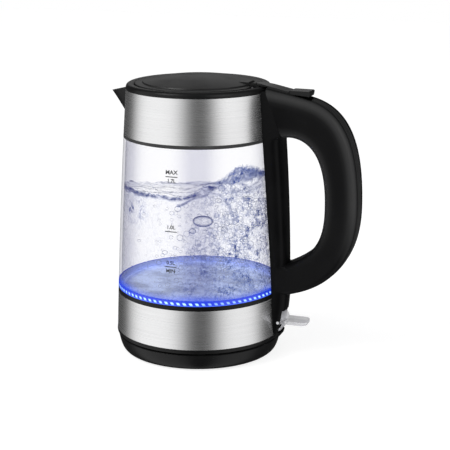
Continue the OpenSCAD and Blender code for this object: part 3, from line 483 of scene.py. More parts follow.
def clear_plastic_finish(name, tint):
    """Clear moulding that shows itself by its edges and a faint haze."""
    made = Finish(name, tint, 0.12)
    edge = made.facing(0.5)
    haze = made.noise(420, 3).between(0.35, 0.75)
    return made.set(Alpha=edge.between(0.1, 0.9) * 0.5 + 0.22 + haze * 0.10,
                    Base_Color=made.mix(edge * 0.6, tint, shade_of(tint, 0.55)))


def board_finish(name, colour):
    """Circuit board with copper tracks under the solder mask."""
    made = Finish(name, colour, 0.35)
    tracks = made.cells(420).between(0.02, 0.06, 1.0, 0.0)
    return made.set(Base_Color=made.mix(tracks * 0.6, colour, shade_of(colour, 2.2)))


# ---- Sizes and colours that a user may change ----

class KettleSizes(bpy.types.PropertyGroup):
    water_level: FloatProperty(
        name="Water level", description="Height of the water above the table",
        default=158 * MM, min=70 * MM, max=185 * MM, unit="LENGTH")
    wave_height: FloatProperty(
        name="Wave height", description="Height of the waves of the boiling surface",
        default=1.3 * MM, min=0, max=8 * MM, unit="LENGTH")
    bubble_count: IntProperty(
        name="Bubbles", description="Number of small bubbles in the water",
        default=900, min=0, max=3000)
    light_ribs: IntProperty(
        name="Light ribs", description="Ribs of the light guide around the body",
        default=84, min=12, max=360)
    floor_size: FloatProperty(
        name="Floor size", description="Side of the studio floor",
        default=6.0, min=1.0, unit="LENGTH")


class KettleColours(bpy.types.PropertyGroup):
    black: FloatVectorProperty(
        name="Black", description="Satin black mouldings", subtype="COLOR",
        default=(0.0035, 0.0035, 0.0038), min=0, max=1)
    steel: FloatVectorProperty(
        name="Steel", description="Brushed steel", subtype="COLOR",
        default=(0.74, 0.74, 0.745), min=0, max=1)
    glass: FloatVectorProperty(
        name="Glass", description="Clear glass seen square on", subtype="COLOR",
        default=(0.06, 0.06, 0.30), min=0, max=1)
    glass_edge: FloatVectorProperty(
        name="Glass edge", description="Glass towards its silhouette", subtype="COLOR",
        default=(0.08, 0.08, 0.16), min=0, max=1)
    water: FloatVectorProperty(
        name="Water", description="Clear water", subtype="COLOR",
        default=(0.26, 0.36, 0.74), min=0, max=1)
    water_mid: FloatVectorProperty(
        name="Foam blue", description="Shade between crowded bubbles", subtype="COLOR",
        default=(0.055, 0.125, 0.44), min=0, max=1)
    # Painted shade of the waves: the blue of their dark streaks.
    wave_shade: FloatVectorProperty(
        name="Wave blue", description="Dark streaks in the waves", subtype="COLOR",
        default=(0.012, 0.035, 0.17), min=0, max=1)
    light: FloatVectorProperty(
        name="Light", description="Blue of the light ring", subtype="COLOR",
        default=(0.010, 0.030, 0.42), min=0, max=1)
    marks: FloatVectorProperty(
        name="Marks", description="Print of the level marks", subtype="COLOR",
        default=(0.015, 0.015, 0.018), min=0, max=1)


def sizes():
    return bpy.context.scene.kettle_sizes


def colours():
    return bpy.context.scene.kettle_colours


def tint(name):
    return tuple(getattr(colours(), name))


# ---- Stage ----

class KETTLE_OT_stage(bpy.types.Operator):
    """Pale floor, studio light around the object and the camera"""
    bl_idname = "kettle.stage"
    bl_label = "Stage"

    def execute(self, context):
        make_floor(sizes().floor_size)
        make_surroundings(context.scene)
        make_lamps()
        make_camera(context.scene)
        context.scene.view_settings.view_transform = "Standard"
        # Glass, water and bubbles lie behind one another in many clear layers
        context.scene.cycles.transparent_max_bounces = CLEAR_LAYERS
        return {"FINISHED"}


def make_floor(side):
    """Flat square with its own paleness, so that only the object's shadow darkens it."""
    half = side / 2 / MM
    corners = [(-half, -half, -0.2), (half, -half, -0.2), (half, half, -0.2), (-half, half, -0.2)]
    floor = mesh_from("floor", corners, [(0, 1, 2, 3)])
    dress(floor, Finish("floor_paint", (0.45, 0.45, 0.45), 0.9, Specular_IOR_Level=0.0,
                        Emission_Color=(1, 1, 1, 1), Emission_Strength=0.79))
    floor.visible_glossy = False


CLEAR_LAYERS = 48
CAMERA_AT = (0.40264, -1.10624, 0.42002)
CAMERA_FORWARD = (-0.3128, 0.9162, -0.2507)
CAMERA_LENS = 106.24


def make_surroundings(scene):
    """Studio around the object: white to the eye. For reflections and light it has two tall
    bright panels, left and right of the front, and is dim elsewhere. A panel's brightness
    is a soft ramp of the cosine between the direction and the panel's middle."""
    world = bpy.data.worlds.new("studio")
    scene.world = world
    world.use_nodes = True
    tree = world.node_tree
    made = NodeTree(tree)
    direction = made.node("ShaderNodeTexCoord", out=0)
    up = made.node("ShaderNodeSeparateXYZ", {}, {0: direction}, out=2)
    left = made.towards(PANELS[0], direction).between(0.50, 0.95)
    right = made.towards(PANELS[1], direction).between(0.70, 0.985)
    above = up.between(0.35, 0.95)
    light = (left * 1.2 + right * 1.12) * (1 - above * 0.8) + 0.06 + above * 0.22
    camera_ray, transmission_ray = (made.node("ShaderNodeLightPath", out=n) for n in (0, 6))
    rays = camera_ray.at_least(transmission_ray)
    background = tree.nodes["Background"]
    made.put(background.inputs["Color"], (1, 1, 1, 1))
    made.put(background.inputs["Strength"], light * (1 - rays) + rays)


def aimed(name, data, place, forward):
    """Object for a lamp or camera at place that looks along forward."""
    made = bpy.data.objects.new(name, data)
    made.location = place
    made.rotation_mode = "QUATERNION"
    made.rotation_quaternion = Vector(forward).to_track_quat("-Z", "Y")
    bpy.context.scene.collection.objects.link(made)
    return made


def make_lamps():
    """Square soft lamps that shine at the middle of the object."""
    middle = Vector((0, 0, 0.12))
    for name, place, size, power in (("key_lamp", (-0.9, -1.1, 1.5), 0.9, 13),
                                     ("fill_lamp", (1.4, -1.0, 0.9), 1.0, 7),
                                     ("back_lamp", (-0.62, 1.5, 0.86), 0.9, 0.8)):
        data = bpy.data.lights.new(name, "AREA")
        data.shape, data.size, data.energy = "SQUARE", size, power
        aimed(name, data, place, middle - Vector(place))


def make_camera(scene):
    data = bpy.data.cameras.new("camera")
    data.lens, data.sensor_width = CAMERA_LENS, 36
    data.clip_start, data.clip_end = 0.05, 50
    scene.camera = aimed("camera", data, CAMERA_AT, CAMERA_FORWARD)


# ---- Finishes on the solids ----

class KETTLE_OT_finishes(bpy.types.Operator):
    """Finishes on the solids of body, base, lid and fittings"""
    bl_idname = "kettle.finishes"
    bl_label = "Finishes"

    def execute(self, context):
        black, steel = tint("black"), tint("steel")
        grey = shade_of(black, 1.25)
        table = {
            moulded("satin_black", black, 0.30, 0.08, 2200, 0.18): (
                "base_shell", "underside_cover", "lower_frame", "upper_frame", "collar"),
            moulded("lid_black", black, 0.40, 0.08, 2200, 0.40): ("lid_cover",),
            moulded("matt_black", black, 0.50, 0.14, 1600, 0.2): (
                "base_floor", "lid_liner", "filter_frame", "coupler_plug", "coupler_socket",
                "cord_gland"),
            moulded("gloss_black", grey, 0.28, 0.04, 900, 0.22): (
                "release_button", "hinge_cover"),
            soft("black_rubber", (0.02, 0.02, 0.021), 0.75): ("base_foot_ring", "upper_seal"),
            soft("clear_silicone", (0.62, 0.66, 0.78), 0.5, 0.8): ("lid_seal",),
            brushed("brushed_band", steel, 0.26, (16, 16, 2600), 0.55): (
                "lower_band", "upper_band"),
            # Painted glow on the plate: its emission stands in for the light reaching it through
            # the glass.
            lit_plate("brushed_plate", (0.62, 0.66, 0.80), (0.30, 0.36, 0.52)): (
                "heating_plate",),
            plain_metal("screw_steel", (0.62, 0.62, 0.64), 0.28): (
                "base_screws", "underside_screws", "handle_screws", "hinge_pin", "lid_spring",
                "button_pin", "latch_spring", "switch_pin", "lid_screws"),
            plain_metal("contact_brass", (0.72, 0.53, 0.22), 0.25): (
                "plug_contacts", "socket_contacts"),
            plain_metal("cast_aluminium", (0.66, 0.66, 0.68), 0.42): (
                "heat_spreader", "heating_element"),
            plain_metal("snap_disc_metal", (0.5, 0.36, 0.24), 0.3): ("bimetal_discs",),
            moulded("heatproof_white", (0.72, 0.72, 0.68), 0.5, 0.1, 1500): (
                "control_body", "steam_tube", "latch_slider"),
            board_finish("solder_mask", (0.03, 0.16, 0.06)): ("led_board",),
            mesh_finish("filter_gauze", steel): ("filter_mesh",),
            clear_plastic_finish("clear_lever", (0.84, 0.84, 0.88)): ("switch_lever",),
        }
        for finish, names in table.items():
            for name in names:
                dress(NODES[name], finish)
        return {"FINISHED"}


def mesh_finish(name, colour):
    """Woven steel gauze: square holes between fine wires."""
    made = Finish(name, colour, 0.35, 1.0)
    pitch = 2 * math.pi / 0.0009
    wires = (made.part(Y) * pitch).sine().at_least((made.part(Z) * pitch).sine())
    return made.set(Alpha=wires.between(0.2, 0.5))


# ---- Light ----

class KETTLE_OT_light(bpy.types.Operator):
    """Light guide, its diodes and the silicone that glows with them"""
    bl_idname = "kettle.light"
    bl_label = "Light ring"

    def execute(self, context):
        bright = (0.06, 0.16, 0.95)
        dress(NODES["light_ring"],
              light_finish("light_guide", tint("light"), bright, sizes().light_ribs, 0.85))
        glow = soft("lit_silicone", (0.46, 0.52, 0.80), 0.4)
        height = glow.part(Z).between((LIGHT_Z + 1) * MM, GLASS_Z * MM)
        lit = glow.mix(height, (0.20, 0.28, 0.80), (0.04, 0.08, 0.30))
        dress(NODES["glass_gasket"], glow.set(Emission_Color=lit, Emission_Strength=0.4))
        dress(NODES["led_chips"], Finish("diode", (0.9, 0.95, 1.0), 0.3, Emission_Strength=3.0,
                                         Emission_Color=(0.25, 0.5, 1.0, 1)))
        return {"FINISHED"}


# ---- Glass ----

class KETTLE_OT_glass(bpy.types.Operator):
    """Glass wall with rounded edges"""
    bl_idname = "kettle.glass"
    bl_label = "Glass"

    def execute(self, context):
        edge = 0.6
        z = np.linspace(GLASS_Z + edge, SEAL_Z - edge, 48)
        outer = np.stack([body_r(z), z], 1)
        inner = np.stack([body_r(z) - GLASS_T, z], 1)[::-1]
        turn = np.linspace(0, np.pi, 7)[1:-1]
        middle = GLASS_T / 2
        top = np.stack([body_r(SEAL_Z) - middle + middle * np.cos(turn),
                        SEAL_Z - edge + edge * np.sin(turn)], 1)
        foot = np.stack([body_r(GLASS_Z) - middle - middle * np.cos(turn),
                         GLASS_Z + edge - edge * np.sin(turn)], 1)
        wall = revolved("glass_wall", np.concatenate([outer, top, inner, foot]))
        dress(wall, drinking_glass("clear_glass", tint("glass"), tint("glass_edge"), LIT_GLASS))
        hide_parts("glass_body")
        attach(wall, "kettle")
        return {"FINISHED"}


# ---- Water ----

def flat_place(x, y):
    """Distances across, to the right, and away, to the back, of the front of the body."""
    turn = math.radians(FRONT + 90)
    return x * math.cos(turn) + y * math.sin(turn), y * math.cos(turn) - x * math.sin(turn)


WATER_R = 69.0  # of the wall that the waves start from


def swell(x, y):
    """Height of the water's surface over its level. Along the front wall it climbs in two
    smooth steps to a crest at the right and falls off behind it, and it sinks towards the
    back. Broad waves are sums of sines."""
    s = sizes()
    across, away = flat_place(x, y)
    depth = away + np.sqrt(np.maximum(WATER_R ** 2 - across ** 2, 0))
    climb = (11.5 * smooth_step(across, -14, 12) + 11 * smooth_step(across, 12, 36)
             - 9 * smooth_step(across, 42, 64))
    height = -1.5 + climb * np.exp(-(depth / 80) ** 2) - 0.125 * depth
    return height + s.wave_height / MM * (
        0.55 * np.sin(0.085 * across + 0.04 * away + 0.6)
        + 0.35 * np.sin(0.16 * across - 0.11 * away + 2.0)
        + 0.30 * np.sin(0.24 * away + 0.13 * across + 4.1)
        + 0.22 * np.sin(0.42 * across + 0.31 * away + 1.1)
        + 0.16 * np.sin(0.61 * away - 0.47 * across + 0.4))


def ruffle(x, y):
    """Small sharp ripples: products of sines, strongest at the right."""
    across, away = flat_place(x, y)
    amount = 0.30 + 0.95 * smooth_step(across, 0, 45)
    ripple = np.sin(0.9 * across + 1.7 * np.sin(0.21 * away)) * np.sin(
        0.75 * away + 1.3 * np.sin(0.27 * across + 1.0))
    fine = np.sin(1.7 * across - 0.6 * away + 2 * np.sin(0.4 * away)) * np.sin(1.4 * away + 0.5)
    choppy = 1 + 1.5 * smooth_step(across, 6, 30)
    return choppy * amount * (ripple + 0.45 * fine)


def near_line(across, z, line):
    """Shortest distance from each place to a broken line of (across, z) points."""
    ends = np.asarray(line, float)
    nearest = np.full(np.shape(across), np.inf)
    for a, b in zip(ends[:-1], ends[1:]):
        run = b - a
        share = np.clip(((across - a[0]) * run[0] + (z - a[1]) * run[1]) / (run @ run), 0, 1)
        nearest = np.minimum(nearest, np.hypot(across - a[0] - share * run[0],
                                               z - a[1] - share * run[1]))
    return nearest


# Painted shade of the waves on the wall, as streaks: points (across, over the level), half width
# and strength
STREAKS = (
    (((-66, -6), (-58, -4.5), (-48, -4.0), (-38, -3.6)), 1.2, 0.6),
    (((-18, -8.5), (-9.5, -4.5), (-1.7, -1.5), (6.9, 2), (12, 5)), 1.3, 0.75),
    (((5, 4), (12.9, 1.8), (17.2, 0.5), (22.3, -3.6), (26.6, -10), (28, -16)), 1.5, 0.6),
    (((8, 8), (16, 7), (24, 4), (34, 1.5), (46, 1), (60, 4)), 2.4, 0.5),
    (((14, 9.5), (24, 11), (34, 9), (46, 5), (60, 8)), 1.6, 0.55),
    (((30, 14), (38, 11), (47, 12), (58, 9)), 1.8, 0.65),
)


FLOOR, SIDE, TOP = 0, 1, 2  # zones of the water's skin
WATER_GRID = 400, 90, 120, 24  # steps around, and rings of its top, side and floor


class KETTLE_OT_water(bpy.types.Operator):
    """Water that fills the glass up to its boiling surface"""
    bl_idname = "kettle.water"
    bl_label = "Water"

    def execute(self, context):
        level = sizes().water_level / MM
        gap = 0.35
        segments, rings, rows, floor_rings = WATER_GRID
        turn = np.linspace(0, 2 * np.pi, segments, endpoint=False)
        foot_z = PLATE_Z + 0.4
        foot_r = PLATE_R - 1.2
        share = np.linspace(1, 1 / rings, rings)[:, None]
        wall_r = body_r(level) - GLASS_T - gap
        x, y = wall_r * share * np.cos(turn), wall_r * share * np.sin(turn)
        top_z = level + swell(x, y) + ruffle(x, y) + 0.8 * np.exp(-(1 - share) * 22)
        climb = 1 - (1 - np.linspace(0, 1, rows, endpoint=False)[:, None]) ** 1.8
        side_z = foot_z + (top_z[:1] - foot_z) * climb
        side_r = body_r(side_z) - GLASS_T - gap
        side_r = foot_r + (side_r - foot_r) * smooth_step(side_z, foot_z, foot_z + 6)
        inwards = np.linspace(1 / floor_rings, 1, floor_rings, endpoint=False)[:, None]
        floor = around(foot_r * inwards, turn, foot_z)
        side = around(side_r, turn, side_z)
        rows_of_points = np.concatenate([floor, side, np.stack([x, y, top_z], -1)])
        count = len(rows_of_points)
        points = np.concatenate([rows_of_points.reshape(-1, 3), [
            [0, 0, level + swell(0, 0) + ruffle(0, 0)], [0, 0, foot_z]]])
        faces = grid_faces(count, segments)
        last, top, foot = (count - 1) * segments, count * segments, count * segments + 1
        faces += [[last + i, last + (i + 1) % segments, top] for i in range(segments)]
        faces += [[(i + 1) % segments, i, foot] for i in range(segments)]
        water = outward(mesh_from("boiling_water", points, faces, 60), 60)
        zone = np.full(len(points), TOP)
        zone[:floor_rings * segments] = FLOOR
        zone[floor_rings * segments:(floor_rings + rows) * segments] = SIDE
        zone[foot] = FLOOR
        paint_water(water, points, zone, level)
        dress(water, water_finish("water", tint("water"), tint("water_mid"), tint("wave_shade"),
                                  LIT_WATER))
        water.visible_shadow = False
        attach(water, "kettle")
        return {"FINISHED"}


def paint_water(piece, points, zone, level):
    """Writes three values per point. Ridge is painted shade in dark lines: on the top where the
    surface is steep, and on the wall along the waterline and the streaks of the waves. Churn tells
    how crowded the bubbles are: most at the right, with a small cluster at the left and a clearing
    around the large bubble. Glow fades from the light ring upwards and inwards."""
    x, y, z = np.asarray(points).T
    across, away = flat_place(x, y)
    step = 0.4
    steep = np.hypot(ruffle(x + step, y) - ruffle(x - step, y),
                     ruffle(x, y + step) - ruffle(x, y - step)) / (2 * step)
    right = smooth_step(across, -8, 30)
    ripples = 0.5 * smooth_step(steep, 0.22 + 2.2 * right, 1.25 + 2.4 * right)
    bend = np.sin(0.20 * away + 0.06 * across + 1.4 * np.sin(0.07 * across + 0.5))
    ripples = np.maximum(ripples, (0.45 - 0.43 * right) * smooth_step(bend, 0.70, 1.0))
    under = level + swell(x, y) + ruffle(x, y) - z
    thick = 2.0 + 1.4 * smooth_step(-across, 44, 62) + 1.9 * np.exp(-((across - 6) / 9) ** 2)
    lines = np.exp(-((under - 0.9) / thick) ** 2) * (
        0.92 - 0.30 * smooth_step(across, 16, 30))
    for line, width, strength in STREAKS:
        apart = near_line(across, z - level + 0.7 * np.sin(0.33 * across), line)
        lines = np.maximum(lines, strength * np.exp(-(apart / width) ** 2))
    patch = np.exp(-((across - 49) ** 2 / 120 + (z - level - 10) ** 2 / 70))
    tossed = np.sin(0.50 * across + 1.3 * np.sin(0.45 * z)) * np.sin(
        0.62 * z + 1.2 * np.sin(0.33 * across))
    lines = np.maximum(lines, patch * np.clip(0.30 + 0.60 * tossed, 0, 1))
    front = np.where(away < 0, 1.0, 0.25)
    ridge = np.select([zone == SIDE, zone == TOP], [lines * front, ripples], 0.0)
    rise = np.clip((z - PLATE_Z) / (level - PLATE_Z), 0, 1)
    start = -20 + 30 * rise
    churn = 0.10 + 0.84 * smooth_step(across, start - 20, start + 26)
    cluster = np.exp(-((across + 58) ** 2 / 110 + (z - 140) ** 2 / 140))
    clearing = np.exp(-((across - 5) ** 2 / 170 + (z - 135) ** 2 / 80))
    low_foam = 0.45 * (1 - smooth_step(z, PLATE_Z + 3, PLATE_Z + 14))
    churn = np.maximum.reduce([churn * (1 - 0.8 * clearing), cluster, low_foam])
    churn = np.select([zone == FLOOR, zone == TOP], [0.20 + 0.10 * right, 0.35 - 0.29 * right],
                      churn * front)
    reach = 1.0 + 10 * smooth_step(-across, 34, 64) + 4 * smooth_step(across, 40, 64)
    reach = reach + 4 * smooth_step(-away, 20, 60)
    glow = np.select([zone == FLOOR, zone == SIDE],
                     [0.85 * smooth_step(np.hypot(x, y), PLATE_R - reach, PLATE_R),
                      (1 - smooth_step(z, PLATE_Z, PLATE_Z + 5)) * np.where(away < 0, 0.4, 0.05)],
                     0.0)
    paint(piece, ridge=ridge, churn=churn, glow=glow)


# ---- Bubbles ----

def ball_grid(columns, rows):
    """Unit sphere as points and faces: rings of points between two poles."""
    lift = np.linspace(0, np.pi, rows + 2)[1:-1]
    turn = np.linspace(0, 2 * np.pi, columns, endpoint=False)
    ring = around(np.sin(lift)[:, None], turn, -np.cos(lift)[:, None]).reshape(-1, 3)
    points = np.concatenate([ring, [[0, 0, -1], [0, 0, 1]]])
    faces = grid_faces(rows, columns)
    pole, top, last = rows * columns, rows * columns + 1, (rows - 1) * columns
    faces += [[(i + 1) % columns, i, pole] for i in range(columns)]
    faces += [[last + i, last + (i + 1) % columns, top] for i in range(columns)]
    return points, faces


def bubbles_mesh(name, centres, radii, squash, columns=10, rows=7):
    """One mesh of many balls: each is the unit ball times its radii plus its centre."""
    ball, faces = ball_grid(columns, rows)
    points = ball[None] * (radii[:, None, None] * squash[:, None, :]) + centres[:, None]
    offsets = (np.arange(len(centres)) * len(ball))[:, None]
    three = np.array([f for f in faces if len(f) == 3])
    four = np.array([f for f in faces if len(f) == 4])
    all_faces = (three[None] + offsets[..., None]).reshape(-1, 3).tolist()
    all_faces += (four[None] + offsets[..., None]).reshape(-1, 4).tolist()
    return mesh_from(name, points.reshape(-1, 3), all_faces, 180)


class KETTLE_OT_bubbles(bpy.types.Operator):
    """Rising bubbles, crowded at the middle and the right, and one large flat bubble"""
    bl_idname = "kettle.bubbles"
    bl_label = "Bubbles"

    def execute(self, context):
        count = sizes().bubble_count
        level = sizes().water_level / MM
        draw = np.random.default_rng(17)
        rise = draw.uniform(0, 1, count)
        across = np.clip(draw.normal(6 + 28 * rise, 25), -62, 62)
        away = draw.uniform(-62, 10, count)
        z = PLATE_Z + 4 + (level - PLATE_Z - 8) * rise
        x, y = 0.946 * across - 0.323 * away, 0.323 * across + 0.946 * away
        away_from_axis = np.hypot(x, y)
        limit = body_r(z) - GLASS_T - 4.0
        pull = np.minimum(1, limit / away_from_axis)
        x, y = x * pull, y * pull
        radii = np.minimum(0.6 + draw.gamma(1.7, 0.50, count), 3.2)
        squash = np.stack([np.ones(count), np.ones(count), draw.uniform(0.62, 0.98, count)], 1)
        centres = np.stack([x, y, z], 1)
        small = bubbles_mesh("small_bubbles", centres, radii, squash)
        dress(small, bubble_finish("bubble_skin", (0.90, 0.94, 1.0), (0.015, 0.045, 0.20),
                                   0.95, 0.25, 0.90))
        big, second = (
            bubbles_mesh(name, np.array([centre]), np.array([radius]), np.array([flat]), *grid)
            for name, centre, radius, flat, grid in (
                ("large_bubble", (22.4, -52.0, 133.2), 9.0, (1.0, 0.9, 0.52), (48, 31)),
                ("second_bubble", (14.0, -56.0, 124.4), 3.0, (1.0, 1.0, 0.8), (32, 21))))
        skin = bubble_finish("large_bubble_skin", (0.88, 0.93, 1.0), (0.005, 0.025, 0.16),
                             1.0, 0.22, 0.72)
        for piece in (big, second):
            dress(piece, skin)
        for piece in (small, big, second):
            piece.visible_shadow = False
            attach(piece, "kettle")
        return {"FINISHED"}


# ---- Level marks ----

def printed(name, words, height, level, stretch=1.0):
    """Words as a flat mesh bent onto the glass: x along the letters becomes an angle about
    the axis and y becomes height, at the glass's own radius plus a film of print."""
    curve = bpy.data.curves.new(name, "FONT")
    curve.body, curve.size, curve.align_x, curve.align_y = words, height, "CENTER", "CENTER"
    curve.offset = height * 0.03
    made = bpy.data.objects.new(name, curve)
    bpy.context.scene.collection.objects.link(made)
    bpy.context.view_layer.update()
    flat = bpy.data.meshes.new_from_object(
        made.evaluated_get(bpy.context.evaluated_depsgraph_get()))
    bpy.data.objects.remove(made)
    points = np.empty(len(flat.vertices) * 3)
    flat.vertices.foreach_get("co", points)
    points = points.reshape(-1, 3)
    flat.calc_loop_triangles()
    faces = [list(f.vertices) for f in flat.loop_triangles]
    return bent(name, points * (stretch, 1, 1), faces, level)


def bent(name, points, faces, level):
    """Flat print laid round the glass: x over the radius is the angle, and y adds to the level."""
    z = level + points[:, 1]
    r = body_r(z) + PRINT_T
    turn = math.radians(MARK_AZIMUTH) + points[:, 0] / r
    return mesh_from(name, around(r, turn, z), faces)


def mark_line(name, level):
    """Printed line: a flat strip of points bent onto the glass."""
    across = np.linspace(-MARK_LINE_W / 2, MARK_LINE_W / 2, 17)
    half = MARK_LINE_T / 2
    strip = np.array([[(a, -half, 0), (a, half, 0)] for a in across]).reshape(-1, 3)
    i = np.arange(len(across) - 1) * 2
    faces = np.stack([i, i + 2, i + 3, i + 1], 1).tolist()
    return bent(name, strip, faces, level)


class KETTLE_OT_marks(bpy.types.Operator):
    """Printed filling levels on the front of the glass"""
    bl_idname = "kettle.marks"
    bl_label = "Level marks"

    def execute(self, context):
        ink = Finish("print", tint("marks"), 0.6)
        worn = ink.noise(900, 3).between(0.30, 0.5)
        ink.set(Alpha=worn * 0.15 + 0.85)
        made = [
            printed("mark_max", "MAX", 4.9, 178.4, stretch=1.05),
            mark_line("mark_line_17", 174.6),
            printed("mark_17", "1.7L", 4.6, 171.0),
            printed("mark_10", "1.0L", 4.6, 130.5),
            mark_line("mark_line_10", 126.7),
            printed("mark_05", "0.5L", 4.6, 99.0),
            mark_line("mark_line_05", 95.5),
            printed("mark_min", "MIN", 4.6, 91.7, stretch=1.05),
        ]
        for piece in made:
            dress(piece, ink)
            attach(piece, "kettle")
        return {"FINISHED"}


# ---- Handle ----

REACH, GRIP_T, GRIP_W, GRIP_ROUND, GRIP_WALL = 149.6, 29.2, 30.0, 6.0, 3.2
OPENING_TOP = RIM_Z - 38.1
OPENING_BOTTOM = OPENING_TOP - 116.5
GRIP_Z = (OPENING_TOP + OPENING_BOTTOM) / 2 - 2.25
GRIP_IN = REACH - GRIP_T
COLUMN_OUT = 11.2
COLUMN_BACK = float(body_r(SEAT_Z)) + COLUMN_OUT
COLUMN_BACK_TOP = float(body_r(BAND_Z)) + COLUMN_OUT + 1.7
KNEE = np.array([106.0, RIM_Z - 4.8])
ROOT_OUT = np.array([float(body_r(RIM_Z)) + 1.7, RIM_Z + 3.4])
ROOT_IN = np.array([COLUMN_BACK_TOP + 1.7, OPENING_TOP])
ARM_SEAT_X = COLUMN_BACK + 0.1
ARM_FOOT_T = 28.4
SEAT_DEPTH = 14
SWITCH_SLOT_W = 20
FOOT_IN = np.array([ARM_SEAT_X, OPENING_BOTTOM + 1])
FOOT_OUT = np.array([ARM_SEAT_X, FOOT_IN[1] - ARM_FOOT_T])
STRIP_W, STRIP_T, FIT = 12.0, 3.0, 0.15
POCKET_W, POCKET_FLOOR = 17.0, -8.6
COLUMN_TOP_W, COLUMN_MID_W = 34.5, 27.0
ROOT_HALF, FOOT_HALF = COLUMN_TOP_W / 2 - 0.6, COLUMN_MID_W / 2
STATIONS = (5, 9, 9)


def grip_paths(per_station=6):
    """Outer and inner curve of the grip at equally spaced stations. Each is three cubic
    curves end to end: upper arm, back and lower arm."""
    a, b, c = STATIONS
    s = np.linspace(0, 1, a * per_station + 1)
    t = np.linspace(0, 1, b * per_station + 1)[1:]
    u = np.linspace(0, 1, c * per_station + 1)[1:]
    back, front = np.array([REACH, GRIP_Z]), np.array([GRIP_IN, GRIP_Z])
    outer = np.concatenate([
        cubic(ROOT_OUT, ROOT_OUT + (13, -2.6), KNEE + (-13, 3.6), KNEE, s),
        cubic(KNEE, KNEE + (32, -9.2), back + (0, 53), back, t),
        cubic(back, back - (0, 46), FOOT_OUT + (42.3, 9.9), FOOT_OUT, u)])
    upper = (ROOT_IN, ROOT_IN + (26, 2.5), np.array([GRIP_IN + 0.6, OPENING_TOP - 19.5]), front)
    inner = np.concatenate([
        cubic(*upper, 0.3 * s), cubic(*upper, 0.3 + 0.7 * t),
        cubic(front, front - (0, 31), FOOT_IN + (25.5, 11.8), FOOT_IN, u)])
    return outer, inner


def arc(cx, cy, r, a0, a1, n):
    """Points of a circle's arc about (cx, cy) from angle a0 to a1 in degrees."""
    a = np.radians(np.linspace(a0, a1, n + 1))
    return np.stack([cx + r * np.cos(a), cy + r * np.sin(a)], 1)


def along_grip(outer, inner, stations, section):
    """Rings of a section carried along the grip: its first number runs from the inner to the
    outer curve and its second is y. The section depends on the span and the station."""
    rings = []
    for far, near, station in zip(outer, inner, stations):
        span = np.linalg.norm(far - near)
        pts = section(span, station)
        share = pts[:, :1] / span
        flat = near + (far - near) * share
        rings.append(np.stack([flat[:, 0], pts[:, 1], flat[:, 1]], 1))
    return np.array(rings)


def grip_section(span, station):
    """Rounded hollow section with its back open for the cover strip. It widens into the column
    over the first stations and narrows to its seat over the last ones, by parabolas."""
    ends = max(0, 1 - station / 4) ** 2, max(0, 1 - (sum(STATIONS) - station) / 5) ** 2
    half_w = GRIP_W / 2 + (ROOT_HALF - GRIP_W / 2) * ends[0] - (GRIP_W / 2 - FOOT_HALF) * ends[1]
    r, n = GRIP_ROUND, 10
    y = half_w - r
    groove, ledge, deep = STRIP_W / 2 + FIT, 1.5, 1.2
    half = np.concatenate([
        arc(r, y, r, 180, 90, n),
        np.stack([np.linspace(r, span - r, 8)[1:-1], np.full(6, half_w)], 1),
        arc(span - r, y, r, 90, 0, n),
        [[span, groove + 0.5], [span - 0.15, groove + 0.15], [span - 0.5, groove],
         [span - STRIP_T, groove], [span - STRIP_T, groove - ledge],
         [span - STRIP_T - deep, groove - ledge],
         [span - STRIP_T - deep, half_w - GRIP_WALL], [GRIP_WALL, half_w - GRIP_WALL]]])
    return np.concatenate([half, half[::-1] * (1, -1)])


def strip_section(span, station):
    """Cover strip: crowned back with rounded edges."""
    half = STRIP_W / 2
    crown = np.linspace(-1, 1, 11)
    top = np.stack([span + 0.42 - 0.42 * np.abs(crown) ** 2.5, crown * (half - 0.6)], 1)
    rest = [[span - 0.25, half - 0.15], [span - 0.6, half], [span - STRIP_T, half],
            [span - STRIP_T, -half], [span - 0.6, -half], [span - 0.25, 0.15 - half]]
    return np.concatenate([top, rest])


class KETTLE_OT_handle(bpy.types.Operator):
    """Hollow grip with both arms, its pocket and the cover strip on its back"""
    bl_idname = "kettle.handle"
    bl_label = "Handle"

    def execute(self, context):
        fine = 6
        outer, inner = grip_paths(fine)
        stations = np.arange(len(outer)) / fine
        grip = lofted("handle_grip", along_grip(outer, inner, stations, grip_section))
        pocket = drawn("pocket", [ROOT_OUT + (-10, 8), ROOT_OUT + (-10, POCKET_FLOOR + 2.4),
                                  KNEE + (0.6, POCKET_FLOOR + 2.6), KNEE + (0.6, 8)],
                       Y, -POCKET_W / 2, POCKET_W / 2)
        carve(grip, ("DIFFERENCE", pocket))
        spots = np.empty(len(grip.data.vertices) * 3)
        grip.data.vertices.foreach_get("co", spots)
        x, y, z = spots.reshape(-1, 3).T / MM
        # Painted highlight: a paler sheen along the grip's rounded edges near its outer and inner
        # curves, on the upper part only.
        round_edge = smooth_step(np.abs(y), 8, 13)
        rubbed = np.maximum(np.exp(-((near_line(x, z, outer) - 2.5) / 4.5) ** 2),
                            0.6 * np.exp(-((near_line(x, z, inner) - 2) / 4) ** 2))
        paint(grip, rubbed=rubbed * round_edge * smooth_step(z, 85, 150))
        dress(grip, moulded("grip_black", tint("black"), 0.36, 0.08, 1700, 0.06, "rubbed"))
        first, last = 5 * fine, (sum(STATIONS) - 2) * fine + 1
        cover = lofted("handle_cover_strip",
                       along_grip(outer[first:last], inner[first:last], stations[first:last],
                                  strip_section))
        # The strip's black is lifted a little: a painted sheen for the highlight along the handle's
        # outer edge.
        dress(cover, moulded("strip_black", shade_of(tint("black"), 1, 0.012), 0.36, 0.06, 1200,
                             0.3))
        for piece, node in ((grip, "handle_body"), (cover, "handle_cover")):
            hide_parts(node)
            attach(piece, "kettle")
        return {"FINISHED"}


# ---- Body outline for cutting what stands against it ----

